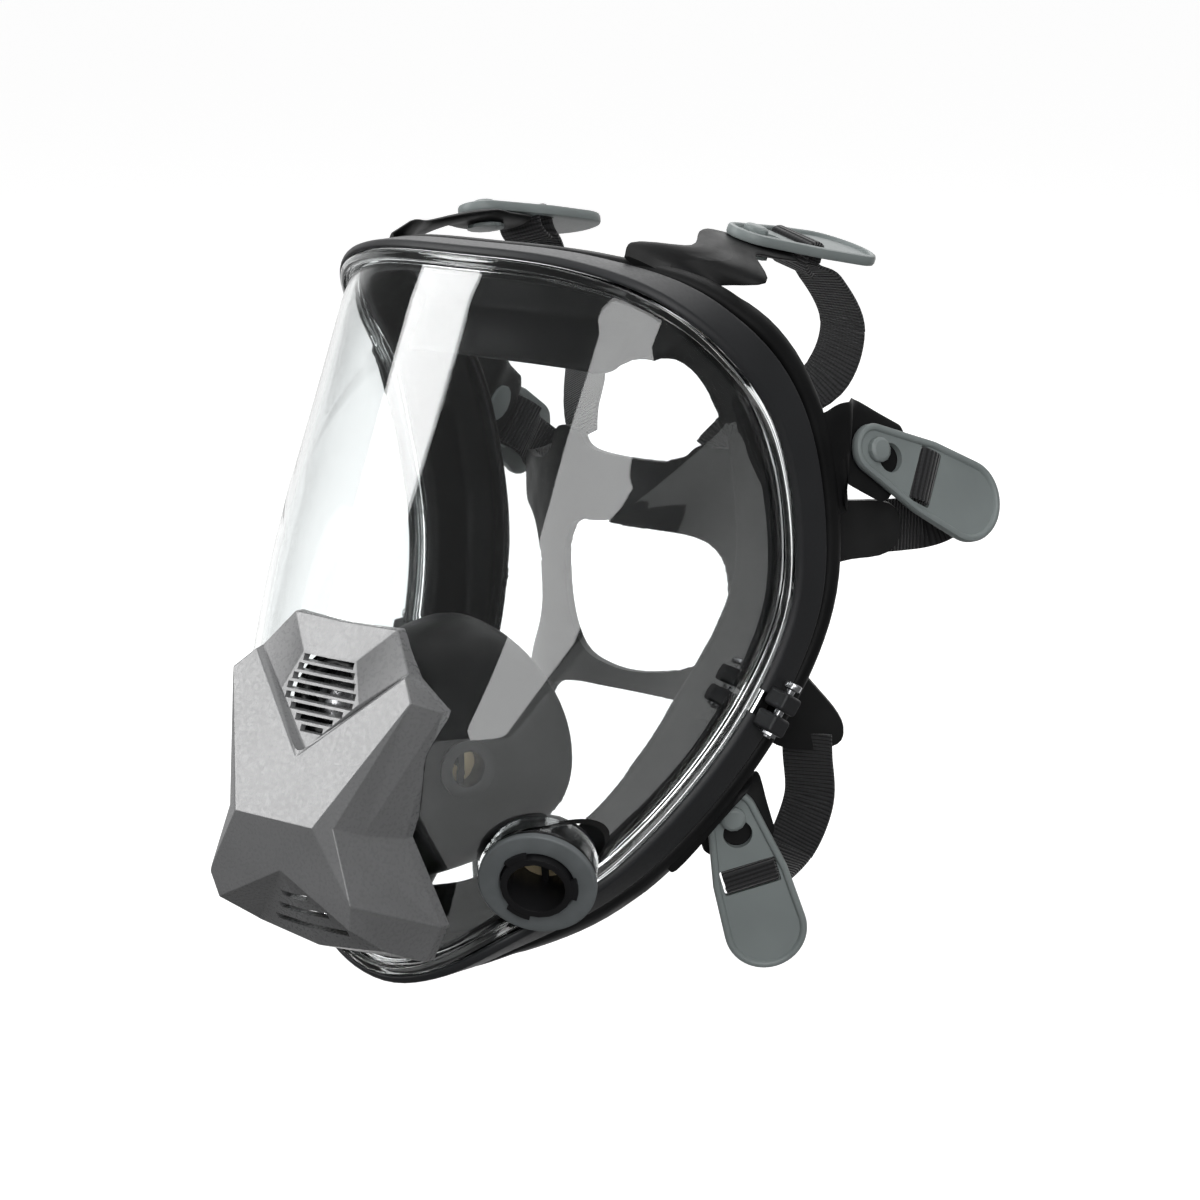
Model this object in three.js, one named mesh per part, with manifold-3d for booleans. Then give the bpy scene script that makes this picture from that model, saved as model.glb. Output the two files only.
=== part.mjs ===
// A full face respirator: a wide clear visor held in a two-part frame over a rubber face seal,
// with two filter ports, a central exhalation and speech unit under a faceted cover, a nose cup
// inside, and a five-way head harness on six buckles.
//
// Millimetres. +X is the wearer's left, +Y runs back towards the head, +Z is up.
// The shapes are laid out from the top centre of the visor's lip, and the exported group then
// moves them so that the part's origin is the centre of the face opening.

import * as THREE from 'three';
import { mergeVertices } from 'three/addons/utils/BufferGeometryUtils.js';
import Module from 'manifold-3d';

const wasm = await Module();
wasm.setup();

const vec = (x, y, z) => new THREE.Vector3(x, y, z);
const BACK = vec(0, 1, 0);
const UP = vec(0, 0, 1);

// ---------------------------------------------------------------------------
// Driving dimensions
// ---------------------------------------------------------------------------

const GAP = 0.3; // between pieces that touch
const WELD = 0.01; // vertices nearer than this become one
const FACE_CENTRE = vec(0, 75, -117); // the centre of the face opening

// The visor's lip: half of its closed outline, from the top centre round to the bottom centre.
const RIM_HALF = [
  [0, 0, 0], [42, 4.7, -2], [66, 16.5, -10], [79, 33, -25], [84, 54, -50], [84.4, 65, -88],
  [82, 64.5, -115], [73, 47, -152], [57, 10, -190], [39, -27, -209.5], [21, -36.5, -220.5],
  [0, -38.5, -225.5],
];
const RIM_STATIONS = 48;
const RIM_CENTRE_Z = -118;

// The visor's wall: a barrel whose section is a superellipse, leaning back as it rises.
const WALL = 2.4;
const LEAN = 0.469; // how far back the wall goes for each millimetre up
const HALF_WIDTH = 83;
const BULGE = 84; // from the straight-ahead line back to the sides
const SIDE_RUN = 100; // the length of straight side wall that one unit of turn stands for

// The chin facet below the crease.
const CHIN_FRONT = vec(0, -54.4, -189.8);
const CHIN_SWEEP = 0.0747;
const CHIN_SLOPE = 0.485;

// The filter ports: a bayonet connection with a 38 mm gasket on each cheek.
const PORT_CENTRE = vec(58, -27.8, -189.8); // the middle of the gasket's front face
const PORT_AXIS = vec(0.492, -0.78, -0.378).normalize();
const GASKET_RADIUS = 19;
const GASKET_BORE = 12;
const GASKET_DEEP = 2.6;
const PORT_TUBE = 15.2;
const PORT_BORE = 9.3;
const LUG_RADIUS = 13.3;

// The central openings of the visor: speech unit above, exhalation valve below.
const SPEECH_Z = -131;
const SPEECH_AXIS = vec(0, -1, LEAN).normalize();
const SPEECH_HOLE = 15;
const VALVE_Z = -190;
const VALVE_AXIS = vec(0, -1, -CHIN_SLOPE).normalize();
const VALVE_HOLE = 15.8;

// The buckles: stud, length direction and outward direction of each one on the wearer's left.
const BUCKLE_SITES = {
  forehead: { stud: vec(59, 76.6, 4.7), along: vec(2, 58.4, -10.7), out: vec(0.25, 0.16, 0.95) },
  temple: { stud: vec(86, 107, -65.4), along: vec(16, 46, -26.6), out: vec(0.92, -0.18, 0.25) },
  jaw: { stud: vec(59.2, 68, -186.2), along: vec(5, 10.9, -37.9), out: vec(0.72, -0.69, -0.1) },
};
const BUCKLE = {
  tail: 9.5, nose: 56, tailRadius: 8.5, noseRadius: 14, middle: 24, middleRadius: 13, thick: 3.6,
};
const STUD = { neck: 2.9, head: 4.2, base: 6.5 };
const SLOT = { start: 17.5, length: 9, across: 19.5, bar: 1.5 };

const WEBBING = { width: 18, thick: 1.4 };
const EAR_THICK = 3;

// ---------------------------------------------------------------------------
// Materials
// ---------------------------------------------------------------------------

const material = (color, roughness, metalness = 0, more = {}) =>
  new THREE.MeshStandardMaterial({ color, roughness, metalness, ...more });

const CLEAR = material(0xdfe8ea, 0.05, 0, { transparent: true, opacity: 0.3 });
const FRAME_GREY = material(0x4b4c50, 0.5);
const COVER_GREY = material(0x8d9092, 0.42);
const BUCKLE_GREY = material(0x7d8585, 0.45);
const BLACK_PLASTIC = material(0x17181a, 0.4);
const BLACK_RUBBER = material(0x1e1f20, 0.65);
const GREY_RUBBER = material(0x7f8586, 0.6);
const VALVE_RUBBER = material(0xd8c9a0, 0.55);
const WEB_BLACK = material(0x191919, 0.85);
const STEEL = material(0xb9bcc0, 0.3, 1);

// ---------------------------------------------------------------------------
// Making closed meshes
// ---------------------------------------------------------------------------

// A closed mesh from points and triangles, turned so that its faces point out.
function closedMesh(points, triangles) {
  let volume = 0;
  for (const [a, b, c] of triangles) {
    volume += points[a].dot(points[b].clone().cross(points[c]));
  }
  const faces = volume < 0 ? triangles.map(([a, b, c]) => [a, c, b]) : triangles;
  const geometry = new THREE.BufferGeometry();
  const flat = points.flatMap((p) => [p.x, p.y, p.z]);
  geometry.setAttribute('position', new THREE.Float32BufferAttribute(flat, 3));
  geometry.setIndex(faces.flat());
  const loose = geometry.toNonIndexed();
  loose.computeVertexNormals();
  return loose;
}

// The two triangles between each pair of neighbouring points on two rings.
function band(ringA, ringB, size) {
  const triangles = [];
  for (let j = 0; j < size; j++) {
    const k = (j + 1) % size;
    triangles.push([ringA + j, ringB + j, ringB + k]);
    triangles.push([ringA + j, ringB + k, ringA + k]);
  }
  return triangles;
}

// A skin over rings of equal size that runs round to its own start.
function loopSkin(rings) {
  const size = rings[0].length;
  const triangles = rings.flatMap((_, i) =>
    band(i * size, ((i + 1) % rings.length) * size, size),
  );
  return closedMesh(rings.flat(), triangles);
}

// A skin over rings of equal size with a cap at each end; outline is the rings' flat shape.
function cappedSkin(rings, outline) {
  const size = rings[0].length;
  const last = (rings.length - 1) * size;
  const triangles = rings.slice(1).flatMap((_, i) => band(i * size, (i + 1) * size, size));
  const cap = THREE.ShapeUtils.triangulateShape(outline, []);
  const flip = THREE.ShapeUtils.area(outline) < 0;
  for (const [a, b, c] of cap) {
    const [p, q] = flip ? [c, b] : [b, c];
    triangles.push([a, p, q]);
    triangles.push([last + a, last + q, last + p]);
  }
  return closedMesh(rings.flat(), triangles);
}

function solidOf(geometry) {
  const bare = geometry.clone();
  bare.deleteAttribute('normal');
  bare.deleteAttribute('uv');
  const merged = mergeVertices(bare, WELD);
  const { array } = merged.attributes.position;
  const kept = [];
  for (let i = 0; i < merged.index.count; i += 3) {
    const [a, b, c] = merged.index.array.slice(i, i + 3);
    if (a !== b && b !== c && a !== c) kept.push(a, b, c);
  }
  const triVerts = new Uint32Array(kept);
  return new wasm.Manifold(new wasm.Mesh({ numProp: 3, vertProperties: array, triVerts }));
}

function geometryOf(solid) {
  const { vertProperties, triVerts } = solid.getMesh();
  const geometry = new THREE.BufferGeometry();
  geometry.setAttribute('position', new THREE.BufferAttribute(vertProperties, 3));
  geometry.setIndex(new THREE.BufferAttribute(triVerts, 1));
  const loose = geometry.toNonIndexed();
  loose.computeVertexNormals();
  return loose;
}

// The same surface with its closest vertices welded.
const welded = (geometry) => geometryOf(solidOf(geometry));

const join = (first, ...others) =>
  geometryOf(others.reduce((sum, g) => sum.add(solidOf(g)), solidOf(first)));
const cut = (first, ...tools) =>
  geometryOf(tools.reduce((rest, g) => rest.subtract(solidOf(g)), solidOf(first)));
const overlap = (a, b) => geometryOf(solidOf(a).intersect(solidOf(b)));

// ---------------------------------------------------------------------------
// Placing
// ---------------------------------------------------------------------------

// The matrix of a place whose z axis is `axis` and whose x axis lies as near `toward` as it can.
function placeAt(origin, axis, toward = UP) {
  const z = axis.clone().normalize();
  const x = toward.clone().addScaledVector(z, -toward.dot(z)).normalize();
  const y = z.clone().cross(x);
  return new THREE.Matrix4().makeBasis(x, y, z).setPosition(origin);
}

const mirrored = (v, side) => vec(v.x * side, v.y, v.z);
const SIDES = { left: 1, right: -1 };

const mask = new THREE.Group();
mask.position.copy(FACE_CENTRE).negate();

function add(name, geometry, finish, matrix) {
  const mesh = new THREE.Mesh(geometry, finish);
  mesh.name = name;
  if (matrix) mesh.applyMatrix4(matrix);
  mask.add(mesh);
}

// ---------------------------------------------------------------------------
// Plain shapes in a place's own frame, z along its axis
// ---------------------------------------------------------------------------

// A turned piece: the profile's [radius, height] pairs, closed on itself or on the axis.
function turned(profile, segments = 20) {
  const onAxis = profile[0][0] === 0;
  const path = onAxis ? profile : [...profile, profile[0]];
  const lathe = new THREE.LatheGeometry(
    path.map(([r, h]) => new THREE.Vector2(r, h)),
    segments,
  );
  lathe.rotateX(Math.PI / 2);
  const merged = solidOf(lathe);
  return merged.volume() < 0 ? geometryOf(solidOf(reversed(lathe))) : geometryOf(merged);
}

function reversed(geometry) {
  const index = geometry.index.array;
  for (let i = 0; i < index.length; i += 3) {
    [index[i + 1], index[i + 2]] = [index[i + 2], index[i + 1]];
  }
  return geometry;
}

const disc = (radius, from, to, segments) =>
  turned([[0, from], [radius, from], [radius, to], [0, to]], segments);
const tube = (inner, outer, from, to, segments) =>
  turned([[inner, from], [outer, from], [outer, to], [inner, to]], segments);

function box(from, to) {
  const size = to.clone().sub(from);
  const middle = from.clone().add(to).multiplyScalar(0.5);
  return new THREE.BoxGeometry(size.x, size.y, size.z).translate(middle.x, middle.y, middle.z);
}

// ---------------------------------------------------------------------------
// The rim that the visor, frame and face seal share
// ---------------------------------------------------------------------------

const rimPoints = [
  ...RIM_HALF,
  ...RIM_HALF.slice(1, -1).reverse().map(([x, y, z]) => [-x, y, z]),
].map(([x, y, z]) => vec(x, y, z));
const rimCurve = new THREE.CatmullRomCurve3(rimPoints, true, 'centripetal');

// A place on the rim: `out` points away from the visor and `back` towards the head.
function rimPlace(t) {
  const at = rimCurve.getPointAt(t);
  const along = rimCurve.getTangentAt(t);
  const back = BACK.clone().addScaledVector(along, -BACK.dot(along)).normalize();
  const out = along.clone().cross(back).normalize();
  const point = (n, k) => at.clone().addScaledVector(out, n).addScaledVector(back, k);
  return { t, at, along, back, out, point };
}

const rimStations = Array.from({ length: RIM_STATIONS }, (_, i) => rimPlace(i / RIM_STATIONS));

function rimNear(target) {
  const samples = Array.from({ length: 400 }, (_, i) => rimPlace(i / 400));
  return samples.reduce((best, s) =>
    s.at.distanceTo(target) < best.at.distanceTo(target) ? s : best,
  );
}

// ---------------------------------------------------------------------------
// Visor
// ---------------------------------------------------------------------------

const CHEEK_START = -88; // the height where the visor starts to narrow
const CHEEK_SPAN = 80;
const CHEEK_TAKE = 17;
const halfWidthAt = (z) =>
  HALF_WIDTH - CHEEK_TAKE * Math.max(0, (CHEEK_START - z) / CHEEK_SPAN) ** 1.6;
const powerAt = (z) => 2.6 - 0.5 * THREE.MathUtils.clamp(-z / 234, 0, 1);

function chinY(x, z) {
  const sweep = CHIN_SWEEP * Math.abs(x) ** 1.5;
  return CHIN_FRONT.y + sweep - CHIN_SLOPE * (z - CHIN_FRONT.z);
}

// The visor's outer surface: turn is 0 straight ahead and 1 where the side wall starts.
function visorSurface(turn, z) {
  const half = halfWidthAt(z);
  const power = 2 / powerAt(z);
  const angle = (Math.min(Math.abs(turn), 1) * Math.PI) / 2;
  const x = half * Math.sin(angle) ** power * Math.sign(turn);
  const beyond = Math.max(0, Math.abs(turn) - 1) * SIDE_RUN;
  const wallY = LEAN * z + BULGE * (1 - Math.cos(angle) ** power) + beyond;
  return vec(x, Math.max(wallY, chinY(x, z)), z);
}

// How far round the barrel a rim point lies.
function turnOf(point) {
  const end = LEAN * point.z + BULGE;
  if (point.y > end) return Math.sign(point.x) * (1 + (point.y - end) / SIDE_RUN);
  const ratio = Math.min(Math.abs(point.x) / halfWidthAt(point.z), 1);
  return Math.sign(point.x) * Math.asin(ratio ** (powerAt(point.z) / 2)) * (2 / Math.PI);
}

// The visor surface's y at a given x and z in front of the sides.
function visorY(x, z) {
  const ratio = Math.min(Math.abs(x) / halfWidthAt(z), 0.999);
  const wallY = LEAN * z + BULGE * (1 - (1 - ratio ** powerAt(z)) ** (1 / powerAt(z)));
  return Math.max(wallY, chinY(x, z));
}

const VISOR_RINGS = [0.22, 0.45, 0.64, 0.8, 0.93];
// The lip and the flange that the frame grips, as [out, back] from the rim.
const LIP = [
  [-1, -0.2], [-0.4, -1.8], [2.2, -1.6], [2.2, 1.2], [3.4, 1.2], [3.4, 2.8], [-3.4, 2.8],
];

function visorRing(share) {
  return rimStations.map((station) => {
    const edge = station.point(LIP[0][0], LIP[0][1]);
    const turn = turnOf(station.at);
    const free = visorSurface(turn * share, THREE.MathUtils.lerp(RIM_CENTRE_Z, edge.z, share));
    const miss = edge.clone().sub(visorSurface(turn, edge.z));
    return free.addScaledVector(miss, share ** 5);
  });
}

// The outward direction at each point of the outer rings.
function ringNormals(rings) {
  return rings.map((ring, i) =>
    ring.map((point, j) => {
      const size = ring.length;
      const acrossA = ring[(j + 1) % size].clone().sub(ring[(j + size - 1) % size]);
      const inner = i === 0 ? ring[(j + size / 2) % size] : rings[i - 1][j];
      const outer = i === rings.length - 1 ? point : rings[i + 1][j];
      const normal = acrossA.cross(outer.clone().sub(inner)).normalize();
      return normal.y > 0.35 ? normal.negate() : normal;
    }),
  );
}

function visorShell() {
  const outer = VISOR_RINGS.map(visorRing);
  const normals = ringNormals(outer);
  const sign = normals[0][0].y < 0 ? -WALL : WALL;
  const inner = outer.map((ring, i) =>
    ring.map((p, j) => p.clone().addScaledVector(normals[i][j], sign)),
  );
  const lip = LIP.map(([n, k]) => rimStations.map((s) => s.point(n, k)));
  const rings = [...outer, ...lip, ...inner.reverse()];
  const size = RIM_STATIONS;
  const front = visorSurface(0, RIM_CENTRE_Z);
  const points = [...rings.flat(), front, front.clone().addScaledVector(SPEECH_AXIS, -WALL)];
  const triangles = rings.slice(1).flatMap((_, i) => band(i * size, (i + 1) * size, size));
  const last = (rings.length - 1) * size;
  for (let j = 0; j < size; j++) {
    const k = (j + 1) % size;
    triangles.push([rings.length * size, j, k]);
    triangles.push([rings.length * size + 1, last + k, last + j]);
  }
  return closedMesh(points, triangles);
}

const COLLAR_WALL = 2.2;
const speechCentre = vec(0, visorY(0, SPEECH_Z), SPEECH_Z);
const valveCentre = vec(0, visorY(0, VALVE_Z), VALVE_Z);
const portFlange = GASKET_DEEP + GAP + 1.6; // depth of the gasket and the flange under it
const collarFront = -(portFlange + GAP);
const collarBack = collarFront - 8.4;
const valveCollar = { front: 1.5, back: -9 };

function visor() {
  const collars = [];
  const bores = [];
  for (const side of Object.values(SIDES)) {
    const place = placeAt(mirrored(PORT_CENTRE, side), mirrored(PORT_AXIS, side));
    const outer = PORT_TUBE + GAP + COLLAR_WALL;
    collars.push(tube(PORT_TUBE - 1, outer, collarBack, collarFront, 16).applyMatrix4(place));
    bores.push(disc(PORT_TUBE + GAP, -25, 20, 16).applyMatrix4(place));
    bores.push(disc(outer, -25, collarBack, 16).applyMatrix4(place));
    bores.push(disc(GASKET_RADIUS + 0.5, collarFront, 20, 16).applyMatrix4(place));
  }
  const valve = placeAt(valveCentre, VALVE_AXIS);
  const { front, back } = valveCollar;
  const valveOuter = VALVE_HOLE + COLLAR_WALL;
  collars.push(tube(VALVE_HOLE - 1, valveOuter, back, front, 16).applyMatrix4(valve));
  bores.push(disc(VALVE_HOLE, -30, 30, 16).applyMatrix4(valve));
  bores.push(disc(SPEECH_HOLE, -12, 12, 16).applyMatrix4(placeAt(speechCentre, SPEECH_AXIS)));
  return welded(cut(join(visorShell(), ...collars), ...bores));
}

add('visor', visor(), CLEAR);

// ---------------------------------------------------------------------------
// Frame: an upper and a lower channel that clamp the visor's flange and the seal's bead
// ---------------------------------------------------------------------------

const CHANNEL = [
  [2.6, -0.4], [3.6, -1], [5.5, 0.6], [5.5, 12.6], [4.6, 13.6], [-2, 13.6], [-2, 12.2],
  [3.8, 12.2], [3.8, 0.8], [2.6, 0.8],
];
const CLAMP_AT = vec(78.5, 58, -141.5);
const CLAMP_HALF_GAP = 0.9;
const LUG = { inner: 4.8, outer: 12.8, front: 1.5, rear: 11.5, long: 7 };
const SCREW = { n: 9.5, k: 6.5, shank: 1.6, head: 3, headLong: 2.2, nut: 3 };

const clampPlace = rimNear(CLAMP_AT);
const clampLength = rimCurve.getLength();
const clampShare = CLAMP_HALF_GAP / clampLength;

// The clamp's own frame on one side: x outwards, y back and z along the rim.
function clampFrame(side) {
  const { at, out, back } = clampPlace;
  const x = mirrored(out, side);
  const y = mirrored(back, side);
  const z = x.clone().cross(y);
  return new THREE.Matrix4().makeBasis(x, y, z).setPosition(mirrored(at, side));
}

// A clamp lug above (+1) or below (-1) the split.
function lug(side, level) {
  const near = CLAMP_HALF_GAP * level * side;
  const far = LUG.long * level * side;
  return box(
    vec(LUG.inner, LUG.front, Math.min(near, far)),
    vec(LUG.outer, LUG.rear, Math.max(near, far)),
  ).applyMatrix4(clampFrame(side));
}

function screwHole(side) {
  const hole = disc(SCREW.shank + GAP, -LUG.long - 2, LUG.long + 2, 12);
  return hole.translate(SCREW.n, SCREW.k, 0).applyMatrix4(clampFrame(side));
}

// One half of the frame, from one share of the rim to a greater one, by way of the stations
// between them, which the visor and the seal share.
function frameHalf(from, to, level) {
  const between = [...rimStations, ...rimStations.map((s) => ({ ...s, t: s.t - 1 }))]
    .filter((s) => s.t > from + clampShare && s.t < to - clampShare)
    .sort((a, b) => a.t - b.t);
  const ends = [from, to].map((t) => rimPlace((t + 1) % 1));
  const rings = [ends[0], ...between, ends[1]].map((station) =>
    CHANNEL.map(([n, k]) => station.point(n, k)),
  );
  const outline = CHANNEL.map(([n, k]) => new THREE.Vector2(n, k));
  const lugs = Object.values(SIDES).map((side) => lug(side, level));
  const holes = Object.values(SIDES).map(screwHole);
  return cut(join(cappedSkin(rings, outline), ...lugs), ...holes);
}

const upperEnd = clampPlace.t - clampShare;
const lowerStart = clampPlace.t + clampShare;
add('upper_frame', frameHalf(-upperEnd, upperEnd, 1), FRAME_GREY);
add('lower_frame', frameHalf(lowerStart, 1 - lowerStart, -1), FRAME_GREY);

const screwTip = LUG.long + SCREW.headLong + 1;
const screwShape = turned([
  [0, -screwTip], [SCREW.shank, -screwTip], [SCREW.shank, LUG.long + GAP],
  [SCREW.head, LUG.long + GAP], [SCREW.head, LUG.long + GAP + SCREW.headLong],
  [0, LUG.long + GAP + SCREW.headLong],
], 12);
const nutShape = tube(
  SCREW.shank + GAP, SCREW.nut, -LUG.long - GAP - SCREW.headLong, -LUG.long - GAP, 6,
);
for (const [label, side] of Object.entries(SIDES)) {
  const upright = new THREE.Matrix4().makeScale(1, side, side);
  const seat = clampFrame(side).multiply(
    new THREE.Matrix4().makeTranslation(SCREW.n, SCREW.k, 0).multiply(upright),
  );
  add(`clamp_screw_${label}`, screwShape, STEEL, seat);
  add(`clamp_nut_${label}`, nutShape, STEEL, seat);
}

// ---------------------------------------------------------------------------
// Face seal, with the six ears that carry the buckles
// ---------------------------------------------------------------------------

// How much of the chin cup's extra depth a height has: 0 at the brow and 1 under the chin.
const chinShare = (z) => THREE.MathUtils.smoothstep(-z, 140, 215);

// The seal's section as [out, back] pairs: bead in the channel, outer skirt, inner flap.
function sealSection(z) {
  const chin = chinShare(z);
  const deep = 27 + 7 * chin;
  const reach = 33 - 9 * chin;
  const edge = 13 + 8 * chin;
  return [
    [2.8, 3.9], [2.8, 11], [-2.6, 11], [-2.6, 14.8], [5.2, 14.8], [5.6, 19.5],
    [3.5, deep - 4], [-4, deep], [-reach * 0.5, deep - 1.5], [-reach, edge],
    [-reach + 1.2, edge - 2], [-reach * 0.5, deep - 4.5], [-6, deep - 6.5], [-5.5, 3.9],
  ];
}

const BUCKLE_NAMES = Object.keys(BUCKLE_SITES).flatMap((site) =>
  Object.keys(SIDES).map((label) => [site, label]),
);

// A buckle's place: x along its length, z out of its face, the stud at its origin.
function buckleFrame(site, label) {
  const { stud, along, out } = BUCKLE_SITES[site];
  const side = SIDES[label];
  const x = mirrored(along, side).normalize();
  const z = mirrored(out, side).addScaledVector(x, -mirrored(out, side).dot(x)).normalize();
  return new THREE.Matrix4().makeBasis(x, z.clone().cross(x), z).setPosition(mirrored(stud, side));
}

const EAR_ROOTS = {
  forehead: { near: vec(67, 18, -10), bend: vec(69, 52, 0), rootWidth: 30, width: 25 },
  temple: { near: vec(84.4, 62, -72), bend: vec(90, 88, -62), rootWidth: 36, width: 28 },
  jaw: { near: vec(66, 31, -170), bend: vec(63, 55, -179), rootWidth: 34, width: 25 },
};
const EAR_TOP = -GAP; // the ear's face under the buckle plate
const EAR_END = 14;

// One flat ear: from inside the seal's skirt, over a bend, to its end under the buckle.
function ear(site, label) {
  const { near, bend, rootWidth, width } = EAR_ROOTS[site];
  const side = SIDES[label];
  const root = rimNear(near);
  const frame = buckleFrame(site, label);
  const middle = EAR_TOP - EAR_THICK / 2;
  const local = (u) => vec(u, 0, middle).applyMatrix4(frame);
  const lid = new THREE.Vector3().setFromMatrixColumn(frame, 2);
  const across = new THREE.Vector3().setFromMatrixColumn(frame, 1);
  const rootOut = mirrored(root.out, side);
  const rootAcross = mirrored(root.along, side);
  if (rootAcross.dot(across) < 0) rootAcross.negate();
  const stops = [
    [mirrored(root.point(2.5, 16.5), side), rootAcross, rootOut, rootWidth],
    [mirrored(root.point(4, 24), side), rootAcross, rootOut, rootWidth],
    [mirrored(bend, side), rootAcross.clone().add(across), rootOut.clone().add(lid), width + 3],
    [local(-11), across, lid, width],
    [local(EAR_END - 6), across, lid, width],
    [local(EAR_END), across, lid, width * 0.7],
  ];
  const rings = stops.map(([at, sideways, face, wide]) => {
    const w = sideways.clone().normalize().multiplyScalar(wide / 2);
    const h = face.clone().normalize().multiplyScalar(EAR_THICK / 2);
    return [[-1, -1], [1, -1], [1, 1], [-1, 1]].map(([a, b]) =>
      at.clone().addScaledVector(w, a).addScaledVector(h, b),
    );
  });
  const square = [[-1, -1], [1, -1], [1, 1], [-1, 1]].map(([a, b]) => new THREE.Vector2(a, b));
  return cappedSkin(rings, square);
}

function earHole(site, label) {
  return disc(STUD.neck + GAP, -8, 4, 12).applyMatrix4(buckleFrame(site, label));
}

function faceSeal() {
  const ring = loopSkin(
    rimStations.map((station) => sealSection(station.at.z).map(([n, k]) => station.point(n, k))),
  );
  const ears = BUCKLE_NAMES.map(([site, label]) => ear(site, label));
  const holes = BUCKLE_NAMES.map(([site, label]) => earHole(site, label));
  return welded(cut(join(ring, ...ears), ...holes));
}

add('face_seal', faceSeal(), BLACK_RUBBER);

// ---------------------------------------------------------------------------
// Buckles and their studs
// ---------------------------------------------------------------------------

// The angle at which a straight side leaves two circles of the outline.
const sideAngle = (rear, rearRadius, front, frontRadius) =>
  Math.acos((rearRadius - frontRadius) / (front - rear));

function podOutline(shrink) {
  const { middle, tailRadius, middleRadius, noseRadius } = BUCKLE;
  const tailCentre = tailRadius - BUCKLE.tail;
  const noseCentre = BUCKLE.nose - noseRadius;
  const rearAngle = sideAngle(tailCentre, tailRadius, middle, middleRadius);
  const foreAngle = sideAngle(middle, middleRadius, noseCentre, noseRadius);
  const outline = new THREE.Shape();
  outline.absarc(noseCentre, 0, noseRadius - shrink, -foreAngle, foreAngle);
  outline.absarc(middle, 0, middleRadius - shrink, foreAngle, rearAngle);
  outline.absarc(tailCentre, 0, tailRadius - shrink, rearAngle, 2 * Math.PI - rearAngle);
  outline.absarc(middle, 0, middleRadius - shrink, -rearAngle, -foreAngle);
  return outline;
}

function slotHole(from, to) {
  const half = SLOT.across / 2;
  return box(vec(from, -half, -1), vec(to, half, BUCKLE.thick + 1));
}

const extruded = (shape, depth, curveSegments) =>
  new THREE.ExtrudeGeometry(shape, { depth, bevelEnabled: false, curveSegments });

const KEYHOLE = { shift: 6.2, wide: 4.9 };
const RECESS = { rim: 2.2, floor: 2.4 };

function buckleShape() {
  const plate = extruded(podOutline(0), BUCKLE.thick, 6);
  const barStart = SLOT.start + SLOT.length / 2 - SLOT.bar;
  const barEnd = barStart + 2 * SLOT.bar;
  const slotHoles = [slotHole(SLOT.start, barStart), slotHole(barEnd, SLOT.start + SLOT.length)];
  const recess = extruded(podOutline(RECESS.rim), BUCKLE.thick, 6).translate(0, 0, RECESS.floor);
  const narrow = disc(STUD.neck + GAP, -1, BUCKLE.thick + 1, 10);
  const wide = disc(KEYHOLE.wide, -1, BUCKLE.thick + 1, 12).translate(KEYHOLE.shift, 0, 0);
  return cut(plate, recess, narrow, wide, ...slotHoles);
}

const studTop = BUCKLE.thick + 1.6;
const studBase = EAR_TOP - EAR_THICK - GAP;
const studShape = turned([
  [0, studBase - 1.2], [STUD.base, studBase - 1.2], [STUD.base, studBase], [STUD.neck, studBase],
  [STUD.neck, RECESS.floor + GAP], [STUD.head, RECESS.floor + GAP], [STUD.head, studTop - 0.7],
  [STUD.head - 1.2, studTop], [0, studTop],
], 12);

const buckleGeometry = buckleShape();
for (const [site, label] of BUCKLE_NAMES) {
  add(`${site}_buckle_${label}`, buckleGeometry, BUCKLE_GREY, buckleFrame(site, label));
  add(`${site}_stud_${label}`, studShape, BUCKLE_GREY, buckleFrame(site, label));
}

// ---------------------------------------------------------------------------
// Filter ports
// ---------------------------------------------------------------------------

const LUGS = 3;
const LUG_ARC = 0.62;
const LUG_TOP = 2;
const PORT_BACK = -16.5;

function sector(inner, outer, middle, arc, from, to) {
  const shape = new THREE.Shape();
  shape.absarc(0, 0, outer, middle - arc / 2, middle + arc / 2);
  shape.absarc(0, 0, inner, middle + arc / 2, middle - arc / 2, true);
  return extruded(shape, to - from, 3).translate(0, 0, from);
}

// The valve web across a bore: a cross bar and the pin that holds a flap at its middle.
function valveWeb(radius, from, to, pinEnd) {
  const bar = box(vec(-radius, -1, from), vec(radius, 1, to));
  const capFrom = pinEnd - Math.sign(pinEnd - from) * 1;
  const pin = disc(1.2, Math.min(from, pinEnd), Math.max(from, pinEnd), 8);
  const cap = disc(2.2, Math.min(capFrom, pinEnd), Math.max(capFrom, pinEnd), 8);
  return [bar, pin, cap];
}

const flangeBack = -portFlange;
const flangeFront = -(GASKET_DEEP + GAP);
function portBody() {
  const body = turned([
    [PORT_BORE, PORT_BACK], [PORT_TUBE, PORT_BACK], [PORT_TUBE, flangeBack],
    [GASKET_RADIUS - 0.6, flangeBack], [GASKET_RADIUS - 0.6, flangeFront],
    [GASKET_BORE - 0.5, flangeFront], [GASKET_BORE - 0.5, LUG_TOP], [PORT_BORE, LUG_TOP],
  ]);
  const lugs = Array.from({ length: LUGS }, (_, i) => {
    const middle = 0.5 + (i * 2 * Math.PI) / LUGS;
    return sector(GASKET_BORE - 1.2, LUG_RADIUS, middle, LUG_ARC, GAP, LUG_TOP - 0.2);
  });
  const web = valveWeb(PORT_BORE + 0.8, PORT_BACK + 1, PORT_BACK + 3, PORT_BACK - 4.4);
  return join(body, ...lugs, ...web);
}

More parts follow.
